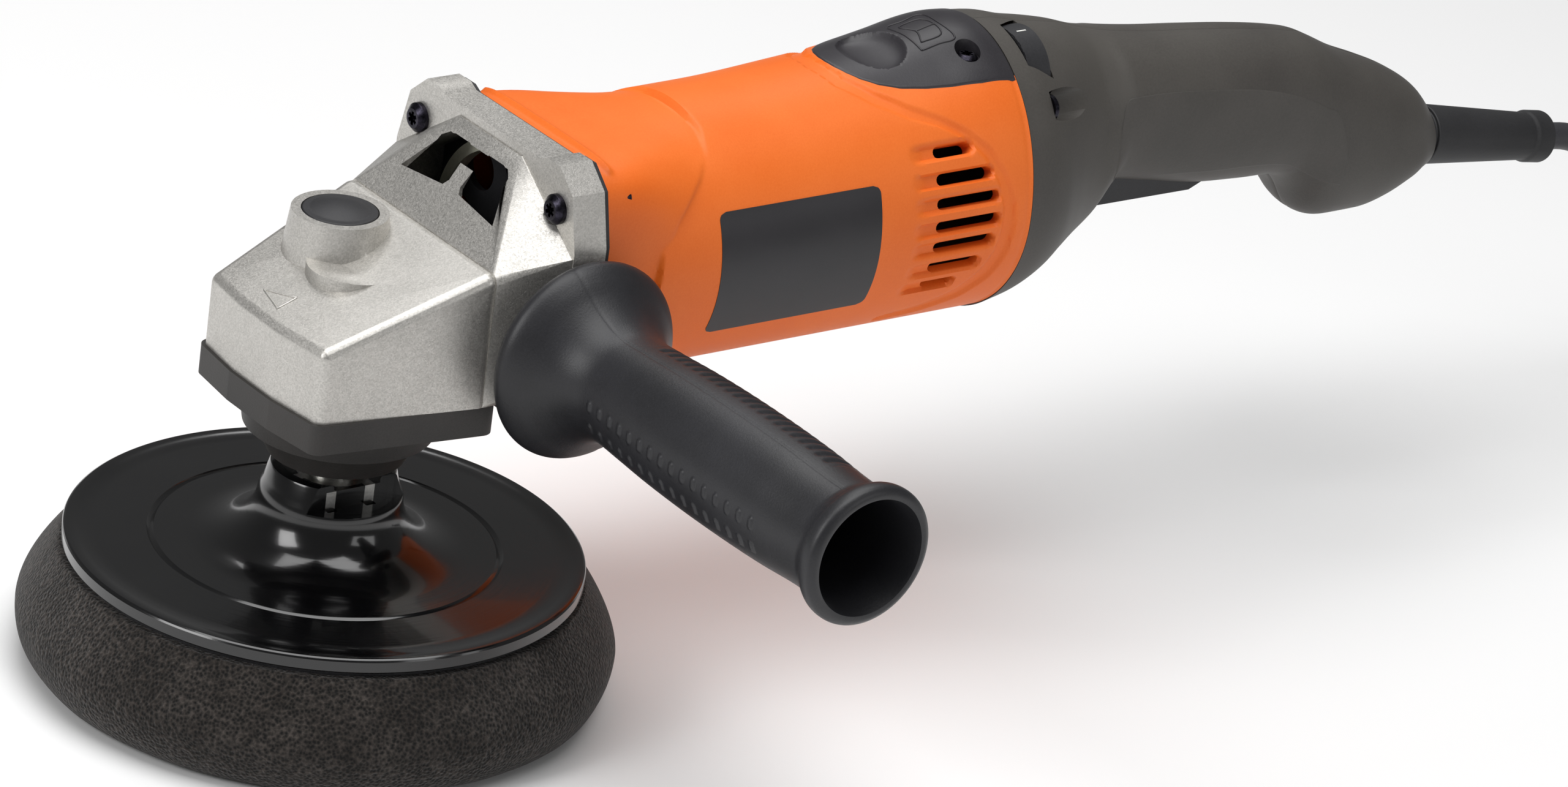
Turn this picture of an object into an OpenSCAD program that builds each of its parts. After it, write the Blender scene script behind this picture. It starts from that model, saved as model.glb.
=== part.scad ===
// Rotary polisher with a side handle, a 150 mm backing plate and a foam pad.
// Millimetres. Z is the spindle axis, Z = 0 the working face of the pad,
// +X runs from the gear head to the rear handle, the side handle points to -Y.

/* [Pad and plate] */
// Diameter of the backing plate
plate_d = 150; // [125:1:150]
// Largest diameter of the foam pad
pad_d = 172.6; // [160:0.2:176]
// Thickness of the foam pad
pad_t = 34; // [28:1:34]

/* [Head and motor] */
// Height of the motor's axis above the pad's face
motor_z = 122.5; // [122:0.5:124]
// Diameter of the motor housing
motor_d = 80; // [79:0.5:81]
// Length of the motor housing, from the head's flange to the handle
motor_l = 158; // [157:1:159]

/* [Side handle] */
// Diameter of the hand guard
guard_d = 59.6; // [54:0.2:60]
// Diameter of the ring at the open end
end_ring_d = 41.2; // [40:0.2:44]

/* [Drive] */
// Teeth on the crown gear
crown_teeth = 34; // [34:1:34]
// Teeth on the countershaft's face pinion
face_teeth = 9; // [9:1:9]
// Teeth on the spur gear
spur_teeth = 24; // [24:1:24]
// Teeth on the armature's pinion
arm_teeth = 8; // [8:1:8]

/* [Cord] */
// Diameter of the mains cord
cord_d = 8.8; // [8:0.2:9]

/* [Hidden] */
$fn = 64;

run_gap = 0.03;          // radial gap of a shaft in its bearing
hook_t = 1.5;
plate_r = plate_d / 2;
plate_z = pad_t + hook_t;
plate_top = plate_z + 4.4;
hub_r = 18.2;            // top of the hub, which widens downwards
hub_top = 64;
flat_y = 12.3;           // wrench flats on the hub
flat_z = 56.5;

head_z = 94;             // joint between gear housing and gear cover
tail_z = 88;             // underside of the housing behind the gear cover
tail_x = 31.5;
flange_x = 42;
flange_t = 11;
mid_x = flange_x + flange_t;
motor_x = mid_x + 2;
seam_x = motor_x + motor_l;
motor_r = motor_d / 2;
bore_r = 36.3;           // inside of the motor housing
screw_y = 34.4;
screw_dz = 28.5;

cs_z = motor_z - 16;     // countershaft axis: (24 + 8) teeth of module 1 over two
lock_pos = [3.5, 15];
lock_r = norm(lock_pos);
lock_ang = atan2(lock_pos[1], lock_pos[0]);
crown_top = cs_z - 5.2;
web_top = 96;

grip_x = 45;             // side handle axis
grip_z = 111;
boss_y = 46;

trig_x = 306;            // trigger pivot
trig_z = 116;
dial_pos = [224.5, -8.3, 156.6];
dial_r = 14;

boot_a = [404, 0, 107];
boot_tilt = 9.2;
boot_l = 56.5;
exit_p = boot_a + boot_l * [cos(boot_tilt), 0, -sin(boot_tilt)];
cord_r = cord_d / 2;
coil_in = 37.5;
coil_layers = 2;
coil_cols = 5;
coil_out = coil_in + cord_d * 1.02 * (coil_cols - 1);
coil_pos = [620, -coil_out];

arm_steel = "silver";
dark = [0.15, 0.15, 0.16];
grey = [0.29, 0.28, 0.27];
orange = [0.94, 0.47, 0.17];
alu = [0.71, 0.70, 0.69];

// ---------- shared shapes ----------

function sgnpow(v, e) = sign(v) * pow(abs(v), e);

// One section of a shell: [x, centre z, half width, height above, depth below, exponent]
function section(s, n, d) = [for (i = [0 : n - 1])
  let (a = 360 * i / n, c = cos(a), k = 2 / s[5])
    [s[0], (s[2] - d) * sgnpow(c, k),
     s[1] + ((sin(a) > 0 ? s[3] : s[4]) - d) * sgnpow(sin(a), k)]];

// A closed skin through the sections, drawn in by d
module loft(st, d = 0, n = 40) {
  m = len(st);
  pts = [for (s = st) each section(s, n, d)];
  sides = [for (j = [0 : m - 2]) for (i = [0 : n - 1])
    each let (a = j * n + i, b = j * n + (i + 1) % n)
      [[a, a + n, b], [b, a + n, b + n]]];
  polyhedron(points = pts, convexity = 6,
    faces = concat([[for (i = [0 : n - 1]) i]], sides,
                   [[for (i = [n - 1 : -1 : 0]) (m - 1) * n + i]]));
}

// A cylinder along +X from x0 to x1, centred on y, z
module xcyl(x0, x1, r, y = 0, z = motor_z, r2 = -1) {
  translate([x0, y, z]) rotate([0, 90, 0])
    cylinder(h = x1 - x0, r1 = r, r2 = r2 < 0 ? r : r2);
}

module ycyl(y0, y1, r, x, z) {
  translate([x, y1, z]) rotate([90, 0, 0]) cylinder(h = y1 - y0, r = r);
}

module zcyl(z0, z1, r, x = 0, y = 0, r2 = -1) {
  translate([x, y, z0]) cylinder(h = z1 - z0, r1 = r, r2 = r2 < 0 ? r : r2);
}

module box(a, b) {
  translate(a) cube(b - a);
}

// A ring along X
module xring(x0, x1, r_out, r_in, z = motor_z) {
  difference() {
    xcyl(x0, x1, r_out, 0, z);
    xcyl(x0 - 1, x1 + 1, r_in, 0, z);
  }
}

module zring(z0, z1, r_out, r_in) {
  difference() {
    zcyl(z0, z1, r_out);
    zcyl(z0 - 1, z1 + 1, r_in);
  }
}

// Draws a y, z outline as a slab from x0 to x1
module xslab(x0, x1) {
  translate([x0, 0, 0]) rotate([90, 0, 90]) linear_extrude(x1 - x0) children();
}

// Pan-head screw with a six-lobed recess, head at the origin, shank along -Z
module pan_screw(len, r_head = 4.4, h = 2.8, r = 2.3) {
  difference() {
    union() {
      cylinder(h = h * 0.5, r = r_head);
      translate([0, 0, h * 0.5]) cylinder(h = h * 0.5, r1 = r_head, r2 = r_head * 0.66);
      translate([0, 0, -len]) cylinder(h = len, r = r);
    }
    for (i = [0 : 2])
      rotate([0, 0, 60 * i]) translate([-2, -0.55, h - 1.6]) cube([4, 1.1, 2]);
  }
}

// The four corners of the head's flange, screws pointing to +X
module at_head_screws(x) {
  for (sy = [-1, 1]) for (sz = [-1, 1])
    translate([x, sy * screw_y, motor_z + sz * screw_dz]) rotate([0, -90, 0]) children();
}

// ---------- pad, plate and spindle ----------

module foam_pad() {
  edge = 14.5;             // height of the widest line
  foot = pad_d / 2 - 9;
  color([0.16, 0.14, 0.14]) rotate_extrude($fn = 96)
    polygon(concat(
      [[0, 0], [foot, 0]],
      [for (i = [1 : 8]) let (a = -90 + 90 * i / 8) [foot + 9 * cos(a), edge + edge * sin(a)]],
      [for (i = [1 : 6]) let (t = i / 6)
        [pad_d / 2 - (pad_d / 2 - plate_r - 0.6) * pow(t, 1.5), edge + (pad_t - edge) * t]],
      [[0, pad_t]]));
}

module hook_disc() {
  color("dimgray") zcyl(pad_t, plate_z, plate_r - 2);
}

// Steel insert's star: a disc with arms that end flush on the wrench flats
module insert_shape(reach = flat_y, arm = 14.6) {
  zcyl(50, 62, 10.8);
  for (x = [-8.6, 4.5]) box([x - 1.65, -reach, 50], [x + 1.65, reach, 62]);
  box([-arm, -1.65, 50], [arm, 1.65, 62]);
}

module plate_insert() {
  color("silver") difference() {
    insert_shape();
    zcyl(49, 63, 7.02);
  }
}

module backing_plate() {
  flare = 20;
  color([0.05, 0.05, 0.06]) difference() {
    rotate_extrude($fn = 96) polygon(concat(
      [[7.6, plate_z], [plate_r - 0.6, plate_z], [plate_r, plate_z + 0.6],
       [plate_r, plate_top - 0.8], [plate_r - 0.8, plate_top], [50.8, plate_top],
       [50.4, plate_top - 0.6], [49.8, plate_top - 0.6], [49.4, plate_top]],
      [for (i = [0 : 8]) let (a = 90 * i / 8)
        [hub_r + 2.6 + flare * (1 - sin(a)), plate_top + 16 * (1 - cos(a))]],
      [[hub_r, hub_top - 0.5], [hub_r - 0.5, hub_top], [15, hub_top], [14.6, 62], [7.6, 62]]));
    for (s = [-1, 1])
      box([-30, s * 21.15 - 8.85, flat_z], [30, s * 21.15 + 8.85, hub_top + 1]);
    insert_shape(flat_y + 1);
    zcyl(48, 50.5, 7.6);
  }
}

module spindle() {
  color(arm_steel) {
    zcyl(46, hub_top, 7);
    zcyl(hub_top, 68.2, 9.7);
    zcyl(68.2, 97, 7.5);
    zcyl(97, 98.2, 7.5);
    zcyl(98.2, 110, 6.5);
    zcyl(110, 119.5, 4);
  }
}

module crown_gear() {
  step = 360 / crown_teeth;
  color("lightslategray") difference() {
    union() {
      zring(85.5, 97, 11.8, 7.5);
      zring(88, web_top, 20, 7.5);
      zring(86.5, crown_top - 2.4, 25.3, 19.4);
      for (i = [0 : crown_teeth - 1]) rotate([0, 0, (i + 0.5) * step])
        translate([19.8, 0, crown_top - 2.5]) rotate([90, 0, 90])
          linear_extrude(5.2) polygon([[-0.7, 0], [0.7, 0], [0.4, 2.5], [-0.4, 2.5]]);
    }
    for (i = [0 : 7]) rotate([0, 0, lock_ang + 45 * i]) zcyl(80, 100, 3.2, lock_r, 0);
  }
}

module gear_clip() {
  color("gray") zring(97, 98.2, 10, 7.5);
}

module spindle_top_bearing() {
  color("silver") zring(112, 119, 11, 4 + run_gap);
}

module spindle_lower_bearing() {
  color("silver") zring(72, 83, 17.5, 7.5 + run_gap);
}

module spindle_seal() {
  color(dark) zring(68.9, 71.8, 14, 7.5 + 0.15);
}

// ---------- gear train ----------

// Straight bar teeth around X
module bar_teeth(n, x0, x1, r0, r1, w0, w1, z, first) {
  for (i = [0 : n - 1]) translate([x0, 0, z]) rotate([first + 360 * i / n, 0, 0])
    rotate([90, 0, 90]) linear_extrude(x1 - x0)
      polygon([[-w0 / 2, r0], [w0 / 2, r0], [w1 / 2, r1], [-w1 / 2, r1]]);
}

module countershaft() {
  color(arm_steel) {
    xcyl(19.5, 25, 4.6, 0, cs_z);
    bar_teeth(face_teeth, 20.2, 24.8, 4.2, 7, 1.5, 0.8, cs_z, 180);
    xcyl(25, 43, 4, 0, cs_z);
    xcyl(43, 51.3, 3, 0, cs_z);
  }
}

// Straight-sided gear blank with teeth, one outline
module spur_outline(n, r_root, r_tip, w_root, w_tip, first) {
  polygon([for (i = [0 : n - 1])
    each let (a = first + 360 * i / n, br = 90 * w_root / PI / r_root, bt = 90 * w_tip / PI / r_tip)
      [r_root * [cos(a - br), sin(a - br)], r_tip * [cos(a - bt), sin(a - bt)],
       r_tip * [cos(a + bt), sin(a + bt)], r_root * [cos(a + br), sin(a + br)]]]);
}

module spur_gear() {
  color("lightslategray") translate([37.5, 0, cs_z]) rotate([90, 0, 90]) difference() {
    linear_extrude(5) spur_outline(spur_teeth, 11.1, 12.8, 1.3, 0.8, 90 + 180 / spur_teeth);
    translate([0, 0, -1]) cylinder(h = 7, r = 4);
  }
}

module countershaft_front_bearing() {
  color("silver") xring(28, 35, 11, 4 + run_gap, cs_z);
}

module countershaft_rear_bearing() {
  color("silver") xring(45.5, 51.5, 9.5, 3 + run_gap, cs_z);
}

module armature_shaft() {
  color(arm_steel) {
    xcyl(36.8, 44, 2.9);
    bar_teeth(arm_teeth, 37, 43.4, 2.6, 4.9, 1.1, 0.7, motor_z, 180);
    xcyl(44, 187, 4);
  }
}

module armature_core() {
  color("dimgray") difference() {
    xcyl(98, 148, 20.5);
    xcyl(97, 149, 4);
    for (i = [0 : 11]) translate([97, 0, motor_z]) rotate([30 * i, 0, 0])
      box([0, -1.2, 14], [52, 1.2, 22]);
  }
}

module commutator() {
  color([0.72, 0.45, 0.2]) xring(158, 171, 12, 4);
}

module cooling_fan() {
  color([0.2, 0.2, 0.21]) {
    xring(68, 80, 9, 4);
    xring(68, 70, 31, 8.5);
    for (i = [0 : 10]) translate([69.5, 0, motor_z]) rotate([360 / 11 * i, 0, 0])
      box([0, -0.8, 8.6], [10, 0.8, 30.8]);
  }
}

module armature_front_bearing() {
  color("silver") xring(58, 65, 11, 4 + run_gap);
}

module armature_rear_bearing() {
  color("silver") xring(178, 185, 9.5, 4 + run_gap);
}

// ---------- gear head ----------

module flange_outline() {
  half = [[0, 39.5], [24, 39.5], [27, 41], [33, 41], [40.5, 34.5], [44.5, 18.5],
          [44.5, -18.5], [40.5, -34.5], [33, -40.5], [0, -40.5]];
  translate([0, motor_z]) polygon(concat(half,
    [for (i = [len(half) - 2 : -1 : 1]) [-half[i][0], half[i][1]]]));
}

// Half outline of the head's tall rear box, mirrored
module rear_outline(d = 0) {
  half = [[0, 159.3], [15.5, 159.3], [44, 139.4], [44, 104], [30, tail_z]];
  offset(delta = -d) polygon(concat(half,
    [for (i = [4 : -1 : 1]) [-half[i][0], half[i][1]]]));
}

module nose(d = 0) {
  r = 3.5;
  hull() {
    for (s = [-1, 1]) {
      for (z = [head_z - 4, 113 - d]) {
        translate([-25.5 + d, s * (26.5 - d), z]) sphere(r, $fn = 24);
        translate([-27.5 + d, s * 10, z]) sphere(r, $fn = 24);
      }
      translate([21, s * (33.5 - d), head_z - 4]) sphere(r, $fn = 24);
      translate([20.5, s * (33.5 - d), 131 - d]) sphere(r, $fn = 24);
    }
  }
}

module rear_box(d = 0) {
  hull() {
    xslab(22, 22.5) offset(r = 3) offset(delta = -3 - d)
      polygon([[-37, head_z - 2], [37, head_z - 2], [37, 134.5], [-37, 134.5]]);
    xslab(flange_x - 0.5, flange_x) rear_outline(d);
  }
}

// Air windows in the sloping rear face: s runs up the slope, y across
module vent_windows() {
  slope = atan2(24.2, 21.3);
  for (m = [0, 1]) mirror([0, m, 0])
    translate([21, 0, 135]) rotate([0, -slope, 0]) translate([0, 0, -9])
      linear_extrude(20) polygon([[11, 23], [26, 15], [27, 12], [27, 4.6], [25.5, 3.4],
                                  [15, 2.8], [13, 4]]);
}

module gear_housing() {
  color(alu) difference() {
    union() {
      difference() {
        union() {
          nose();
          rear_box();
          xslab(flange_x, mid_x) flange_outline();
          zcyl(112, 136, 17, lock_pos[0], lock_pos[1], 14);
          for (s = [0, 1]) mirror([0, s, 0]) ycyl(34, boss_y, 13.5, grip_x, grip_z);
        }
        box([-60, -60, 60], [tail_x, 60, head_z]);
        box([mid_x, -60, 60], [90, 60, 200]);
        at_head_screws(flange_x) cylinder(h = 14, r = 4.9);
        zcyl(90, 103, 26.3);
        hull() {
          box([-21, -22, 100], [-20, 22, 109]);
          box([25, -29, 100], [26, 29, 127]);
        }
        hull() {
          box([25, -29, 98], [26, 29, 131]);
          xslab(37, 38) intersection() {
            rear_outline(4);
            translate([-36, 98]) square([72, 70]);
          }
        }
        xslab(37.9, mid_x + 1) intersection() {
          rear_outline(4);
          translate([-36, 98]) square([72, 70]);
        }
        xcyl(36.4, 43.3, 13.4, 0, cs_z);
        vent_windows();
      }
      zcyl(110.5, 126, 14);
      zcyl(108, 130, 6.5, lock_pos[0], lock_pos[1]);
      intersection() {
        box([28.5, -33, head_z], [34.5, 33, 123]);
        rear_box(2);
      }
      xcyl(26.5, 36.5, 12.4, 0, cs_z);
      for (s = [0, 1]) mirror([0, s, 0]) ycyl(28, 40, 8, grip_x, grip_z);
    }
    zcyl(109, 119, 11);
    zcyl(119, 121, 6);
    zcyl(126, 137, 11.2, lock_pos[0], lock_pos[1]);
    zcyl(100, 130, 2.6, lock_pos[0], lock_pos[1]);
    xcyl(26, 35, 11, 0, cs_z);
    xcyl(43.2, mid_x + 1, 11.05, 0, cs_z);
    xcyl(34, 38, 6, 0, cs_z);
    for (s = [0, 1]) mirror([0, s, 0]) ycyl(32, boss_y + 1, 3.4, grip_x, grip_z);
    at_head_screws(flange_x + 30) zcyl(0, 40, 2.4);
    box([mid_x, -60, 60], [90, 60, 200]);
    for (p = [[-24, 25], [-24, -25], [24, 31.5], [24, -31.5]]) zcyl(90, 106, 2.05, p[0], p[1]);
  }
}

module cover_outline() {
  hull() for (s = [-1, 1]) {
    translate([-26, s * 27]) circle(4, $fn = 32);
    translate([-28, s * 10]) circle(4, $fn = 32);
    translate([24, s * 33]) circle(4, $fn = 32);
  }
}

module gear_cover() {
  color([0.23, 0.22, 0.21]) difference() {
    union() {
      translate([0, 0, 85]) linear_extrude(head_z - 85) cover_outline();
      zcyl(77, 85, 27.5, 0, 0, 29);
      zcyl(68.6, 77, 20, 0, 0, 24);
    }
    zcyl(84.5, 95, 25.9);
    zcyl(72, 85, 17.5);
    zcyl(60, 73, 14);
    for (p = [[-24, 25], [-24, -25], [24, 31.5], [24, -31.5]]) {
      zcyl(80, 95, 2.4, p[0], p[1]);
      zcyl(80, 88.5, 4.2, p[0], p[1]);
    }
  }
}

module gear_cover_screws() {
  color("dimgray") for (p = [[-24, 25], [-24, -25], [24, 31.5], [24, -31.5]])
    translate([p[0], p[1], 88.5]) rotate([180, 0, 0]) pan_screw(16, 4, 2.6, 2);
}

module head_screws() {
  color([0.2, 0.2, 0.24]) at_head_screws(flange_x) pan_screw(24);
}

module mid_plate() {
  color(dark) difference() {
    union() {
      xslab(mid_x, motor_x) offset(delta = -1.2) flange_outline();
      xcyl(44.5, mid_x, 11, 0, cs_z);
      xcyl(motor_x, 66, 14);
    }
    xcyl(44, 51.5, 9.5, 0, cs_z);
    xcyl(58, 67, 11);
    xcyl(44, 60, 5.2);
    for (a = [0 : 45 : 179]) translate([0, 0, motor_z]) rotate([a, 0, 0])
      translate([50, 25, 0]) rotate([0, 90, 0]) cylinder(h = 10, r = 6.5);
    at_head_screws(60) zcyl(0, 40, 2.4);
  }
}

// Cream plastic arch that leads the fan's air to the windows
module air_guide() {
  color([0.85, 0.84, 0.74]) intersection() {
    xring(mid_x - 4, mid_x, 32.4, 29);
    box([40, -40, 122], [60, 40, 160]);
  }
}

// ---------- motor ----------

motor_st = [
  [motor_x, motor_z, motor_r - 1, motor_r - 1, motor_r - 1, 6],
  [68, motor_z, motor_r - 1.2, motor_r - 1.2, motor_r - 1.2, 5.4],
  [84, motor_z, motor_r - 1.1, motor_r - 1, motor_r - 1, 3.5],
  [96, motor_z, motor_r - 0.6, motor_r - 0.6, motor_r - 0.6, 2.6],
  [106, motor_z, motor_r, motor_r, motor_r, 2],
  [128, motor_z, motor_r, motor_r + 0.5, motor_r, 2],
  [150, motor_z, motor_r, motor_r + 2.2, motor_r, 2],
  [170, motor_z, motor_r, motor_r + 4.2, motor_r, 2],
  [188, motor_z, motor_r, motor_r + 7.4, motor_r + 0.2, 2],
  [200, motor_z, motor_r, motor_r + 10, motor_r + 0.5, 2],
  [206, motor_z, motor_r, motor_r + 10.5, motor_r + 0.6, 2],
  [seam_x, motor_z, motor_r, motor_r + 10, motor_r + 0.6, 2]];

// Plan outline of the black cover on top
module cover_prism(gap = 0) {
  half = [[seam_x + 1, 24.8], [200.4, 24.2], [190.6, 22.7], [182.2, 21], [174.2, 18.7], [168.1, 15.6],
          [163.9, 12], [161.4, 8.2], [159.9, 4.2], [159.4, 0]];
  translate([0, 0, 155]) linear_extrude(30) offset(delta = gap)
    polygon(concat(half, [for (i = [len(half) - 2 : -1 : 0]) [half[i][0], -half[i][1]]]));
}

// Window band for the badge: x 99 to 156.5, 27 degrees each way on the -Y side
module badge_zone(gap = 0) {
  intersection() {
    box([99 - gap, -50, 80], [156.5 + gap, -20, 165]);
    translate([0, 0, motor_z]) rotate([90, 0, 90])
      linear_extrude(200) polygon([[0, 0], [-44, -22.4 - gap], [-44, 22.4 + gap]]);
  }
}

// Seven slots on one side: [angle up from the side, rear end]
slots = [[37, 192.5], [25.5, 199], [15, 201.5], [4.6, 202], [-4.8, 200.5], [-15, 197], [-24.5, 190]];

module vent_slots() {
  for (m = [0, 1]) mirror([0, m, 0]) for (s = slots)
    translate([0, 0, motor_z]) rotate([-s[0], 0, 0]) {
      box([180, -46, -2.2], [s[1] - 2.2, -32, 2.2]);
      translate([s[1] - 2.2, -32, 0]) rotate([90, 0, 0]) cylinder(h = 14, r = 2.2, $fn = 24);
      translate([180, -32, 0]) rotate([90, 0, 0]) cylinder(h = 14, r = 2.2, $fn = 24);
    }
}

module motor_housing() {
  color(orange) difference() {
    union() {
      difference() {
        loft(motor_st);
        xcyl(motor_x - 1, seam_x + 1, bore_r);
        difference() {
          cover_prism();
          loft(motor_st, 3);
        }
        intersection() {
          badge_zone(0.1);
          xring(90, 165, 60, motor_r - 1);
        }
        vent_slots();
      }
      difference() {
        xcyl(176, 187, 37);
        for (a = [22.5 : 45 : 359]) translate([170, 0, motor_z]) rotate([a, 0, 0])
          translate([0, 25, 0]) rotate([0, 90, 0]) cylinder(h = 20, r = 8);
      }
    }
    xcyl(177.9, 188, 9.5);
    xcyl(170, 180, 5.2);
    at_head_screws(motor_x + 13) zcyl(0, 50, 2.4);
    translate([201, -14.7, 0]) {
      zcyl(158.5, 180, 1.9);
      zcyl(164.9, 180, 5.2);
    }
    for (s = [-1, 1]) xcyl(205, seam_x + 1, 1.95, s * mount_screw_y, mount_screw_z);
  }
}

module top_cover() {
  color([0.24, 0.23, 0.25]) difference() {
    union() {
      difference() {
        intersection() {
          loft(motor_st);
          cover_prism(-0.1);
        }
        loft(motor_st, 3);
      }
      translate([201, -14.7, 0]) zcyl(165, 167.4, 5);
    }
    translate([201, -14.7, 0]) {
      zcyl(160, 180, 2);
      zcyl(166.2, 180, 4);
    }
    // thumb notch
    translate([171, 0, 182.8]) sphere(18.5, $fn = 48);
  }
}

module top_cover_screw() {
  color("dimgray") translate([201, -14.7, 166.2]) pan_screw(7, 3.4, 2.2, 1.8);
}

module badge_plate() {
  color([0.18, 0.17, 0.18]) intersection() {
    badge_zone();
    xring(95, 160, motor_r - 0.05, motor_r - 1);
  }
}

module stator_core() {
  color("dimgray") difference() {
    xring(98, 150, 36, 21.4);
    for (s = [0, 1]) mirror([0, s, 0]) translate([97, 0, motor_z])
      box([0, 20, -14], [54, 27, 14]);
  }
}

module stator_windings() {
  color([0.72, 0.38, 0.15]) {
    xring(90, 98, 33, 24);
    xring(150, 157, 33, 24);
  }
}

module at_brushes() {
  for (s = [0, 1]) mirror([0, s, 0]) translate([164.5, 0, motor_z]) children();
}

module brush_holders() {
  color("goldenrod") at_brushes() difference() {
    box([-5, 14, -6], [5, 35.4, 6]);
    box([-3.5, 12, -4.5], [3.5, 35, 4.5]);
  }
}

module carbon_brushes() {
  color([0.12, 0.12, 0.12]) at_brushes() difference() {
    box([-3.4, 11, -4.4], [3.4, 24, 4.4]);
    xcyl(-10, 10, 12.03, 0, 0);
  }
}

module brush_springs() {
  color("silver") at_brushes() translate([0, 34.9, 0]) rotate([90, 0, 0])
    difference() {
      cylinder(h = 10.8, r = 3, $fn = 32);
      translate([0, 0, -1]) cylinder(h = 13, r = 2.3, $fn = 32);
    }
}

// ---------- rear handle ----------

handle_st = [
  [seam_x, motor_z, motor_r, motor_r + 10, motor_r + 0.6, 2],
  [222, motor_z, 39.2, 49, 38.2, 2],
  [230, motor_z, 36.5, 47, 35, 2],
  [238, motor_z, 32, 45.8, 31, 2],
  [246, motor_z, 27.5, 44.2, 27, 2],
  [254, motor_z, 24, 41.8, 22, 2],
  [260, 128, 22.6, 34.8, 20, 2.1],
  [266, 136.5, 21.8, 25, 22.4, 2.2],
  [282, 135, 21.5, 24, 23.4, 2.2],
  [304, 132, 21.2, 24.6, 24.6, 2.2],
  [322, 130.2, 21, 24.2, 24.2, 2.2],
  [340, 127.8, 21, 23.6, 22.8, 2.2],
  [346, 124, 21, 26, 24, 2.2],
  [352, 119, 21, 28.4, 27.6, 2.2],
  [362, 115, 20.8, 27.6, 27.2, 2.2],
  [374, 113, 20, 25, 25.2, 2.2],
  [385, 111.5, 18.6, 21.8, 21.4, 2.2],
  [394, 109.5, 16.4, 18.6, 15.4, 2.2],
  [400, 108, 13.4, 15, 12, 2],
  [boot_a[0], 107, 10.6, 11, 10.6, 2]];

module boot_frame() {
  translate(boot_a) rotate([0, 90 + boot_tilt, 0]) children();
}

// Side prism of the soft grip panels
module grip_zone(gap = 0) {
  for (m = [0, 1]) mirror([0, m, 0]) translate([0, 60, 0]) rotate([90, 0, 0])
    linear_extrude(47) offset(delta = gap)
      polygon([[262, 118], [263, 145], [268, 149], [300, 146], [330, 140], [350, 131],
               [357, 118], [356, 103], [344, 112], [300, 114]]);
}

handle_screw_pos = [[240, 128], [252, 107], [366, 124], [376, 99]];
mount_screw_y = 27;      // screws from the handle into the motor housing
mount_screw_z = 152.5;

module handle_body() {
  difference() {
    union() {
      difference() {
        loft(handle_st);
        difference() {
          loft([for (i = [0 : len(handle_st) - 3]) handle_st[i]], 3.2);
          box([390, -30, 80], [410, 30, 140]);
        }
        box([seam_x - 1, -36.5, motor_z - 36.5], [seam_x + 3, 36.5, motor_z + 36.5]);
      }
      intersection() {
        loft(handle_st, 0.5);
        union() {
          for (s = [0, 1]) mirror([0, s, 0]) ycyl(10.6, 22, 4.5, trig_x, trig_z);
          for (p = handle_screw_pos) ycyl(-40, 40, 4, p[0], p[1]);
          for (s = [-1, 1]) xcyl(seam_x, 252, 7.6, s * mount_screw_y, mount_screw_z);
        }
      }
    }
    difference() {
      grip_zone();
      loft(handle_st, 1.6);
    }
    box([258, -10.2, 90], [319, 10.2, 127]);
    xcyl(219.8, 229.2, dial_r + 0.8, dial_pos[1], dial_pos[2]);
    ycyl(-13.1, 13.1, 1.5, trig_x, trig_z);
    for (p = handle_screw_pos) {
      ycyl(-12, 9, 1.6, p[0], p[1]);
      ycyl(9, 60, 3.2, p[0], p[1]);
    }
    for (s = [-1, 1]) {
      xcyl(seam_x - 1, 226, 2, s * mount_screw_y, mount_screw_z);
      xcyl(224.5, 270, 5, s * mount_screw_y, mount_screw_z);
    }
    boot_frame() translate([0, 0, -20]) cylinder(h = 30, r = 8.6);
    boot_frame() translate([0, 0, -12]) cylinder(h = 3.2, r = 10.4);
  }
}

module handle_shell_left() {
  color(grey) difference() {
    handle_body();
    box([200, 0, 60], [420, 60, 190]);
  }
}

module handle_shell_right() {
  color(grey) difference() {
    handle_body();
    box([200, -60, 60], [420, 0, 190]);
  }
}

module grip_pads() {
  color([0.26, 0.25, 0.25]) difference() {
    intersection() {
      loft(handle_st);
      grip_zone(-0.1);
    }
    loft(handle_st, 1.6);
  }
}

module handle_screws() {
  color("dimgray") for (p = handle_screw_pos) translate([p[0], 9, p[1]])
    rotate([-90, 0, 0]) pan_screw(20.5, 3.1, 2.2, 1.55);
}

module handle_mount_screws() {
  color("dimgray") for (s = [-1, 1]) translate([224.5, s * mount_screw_y, mount_screw_z])
    rotate([0, 90, 0]) pan_screw(15, 4, 2.6, 1.9);
}

module switch_body() {
  color(dark) difference() {
    box([266, -9, 128.5], [302, 9, 147]);
    zcyl(128, 138, 2.6, 275, 0);
  }
}

module switch_plunger() {
  color("white") zcyl(120.9, 131.5, 2.5, 275, 0);
}

module speed_module() {
  color([0.1, 0.3, 0.2]) difference() {
    box([230.5, -12.5, 143], [239, 8, 159]);
    xcyl(230, 234, 2.05, dial_pos[1], dial_pos[2]);
  }
}

module speed_dial() {
  color([0.1, 0.1, 0.11]) difference() {
    union() {
      xcyl(220.4, 228.6, dial_r, dial_pos[1], dial_pos[2]);
      xcyl(228, 233.5, 2, dial_pos[1], dial_pos[2]);
    }
    for (i = [0 : 23]) translate([0, dial_pos[1], dial_pos[2]]) rotate([15 * i, 0, 0])
      translate([219, 0, dial_r + 0.5]) rotate([0, 90, 0]) cylinder(h = 1.6, r = 1, $fn = 20);
  }
}

module trigger_pin() {
  color("silver") ycyl(-13, 13, 1.5, trig_x, trig_z);
}

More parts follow.
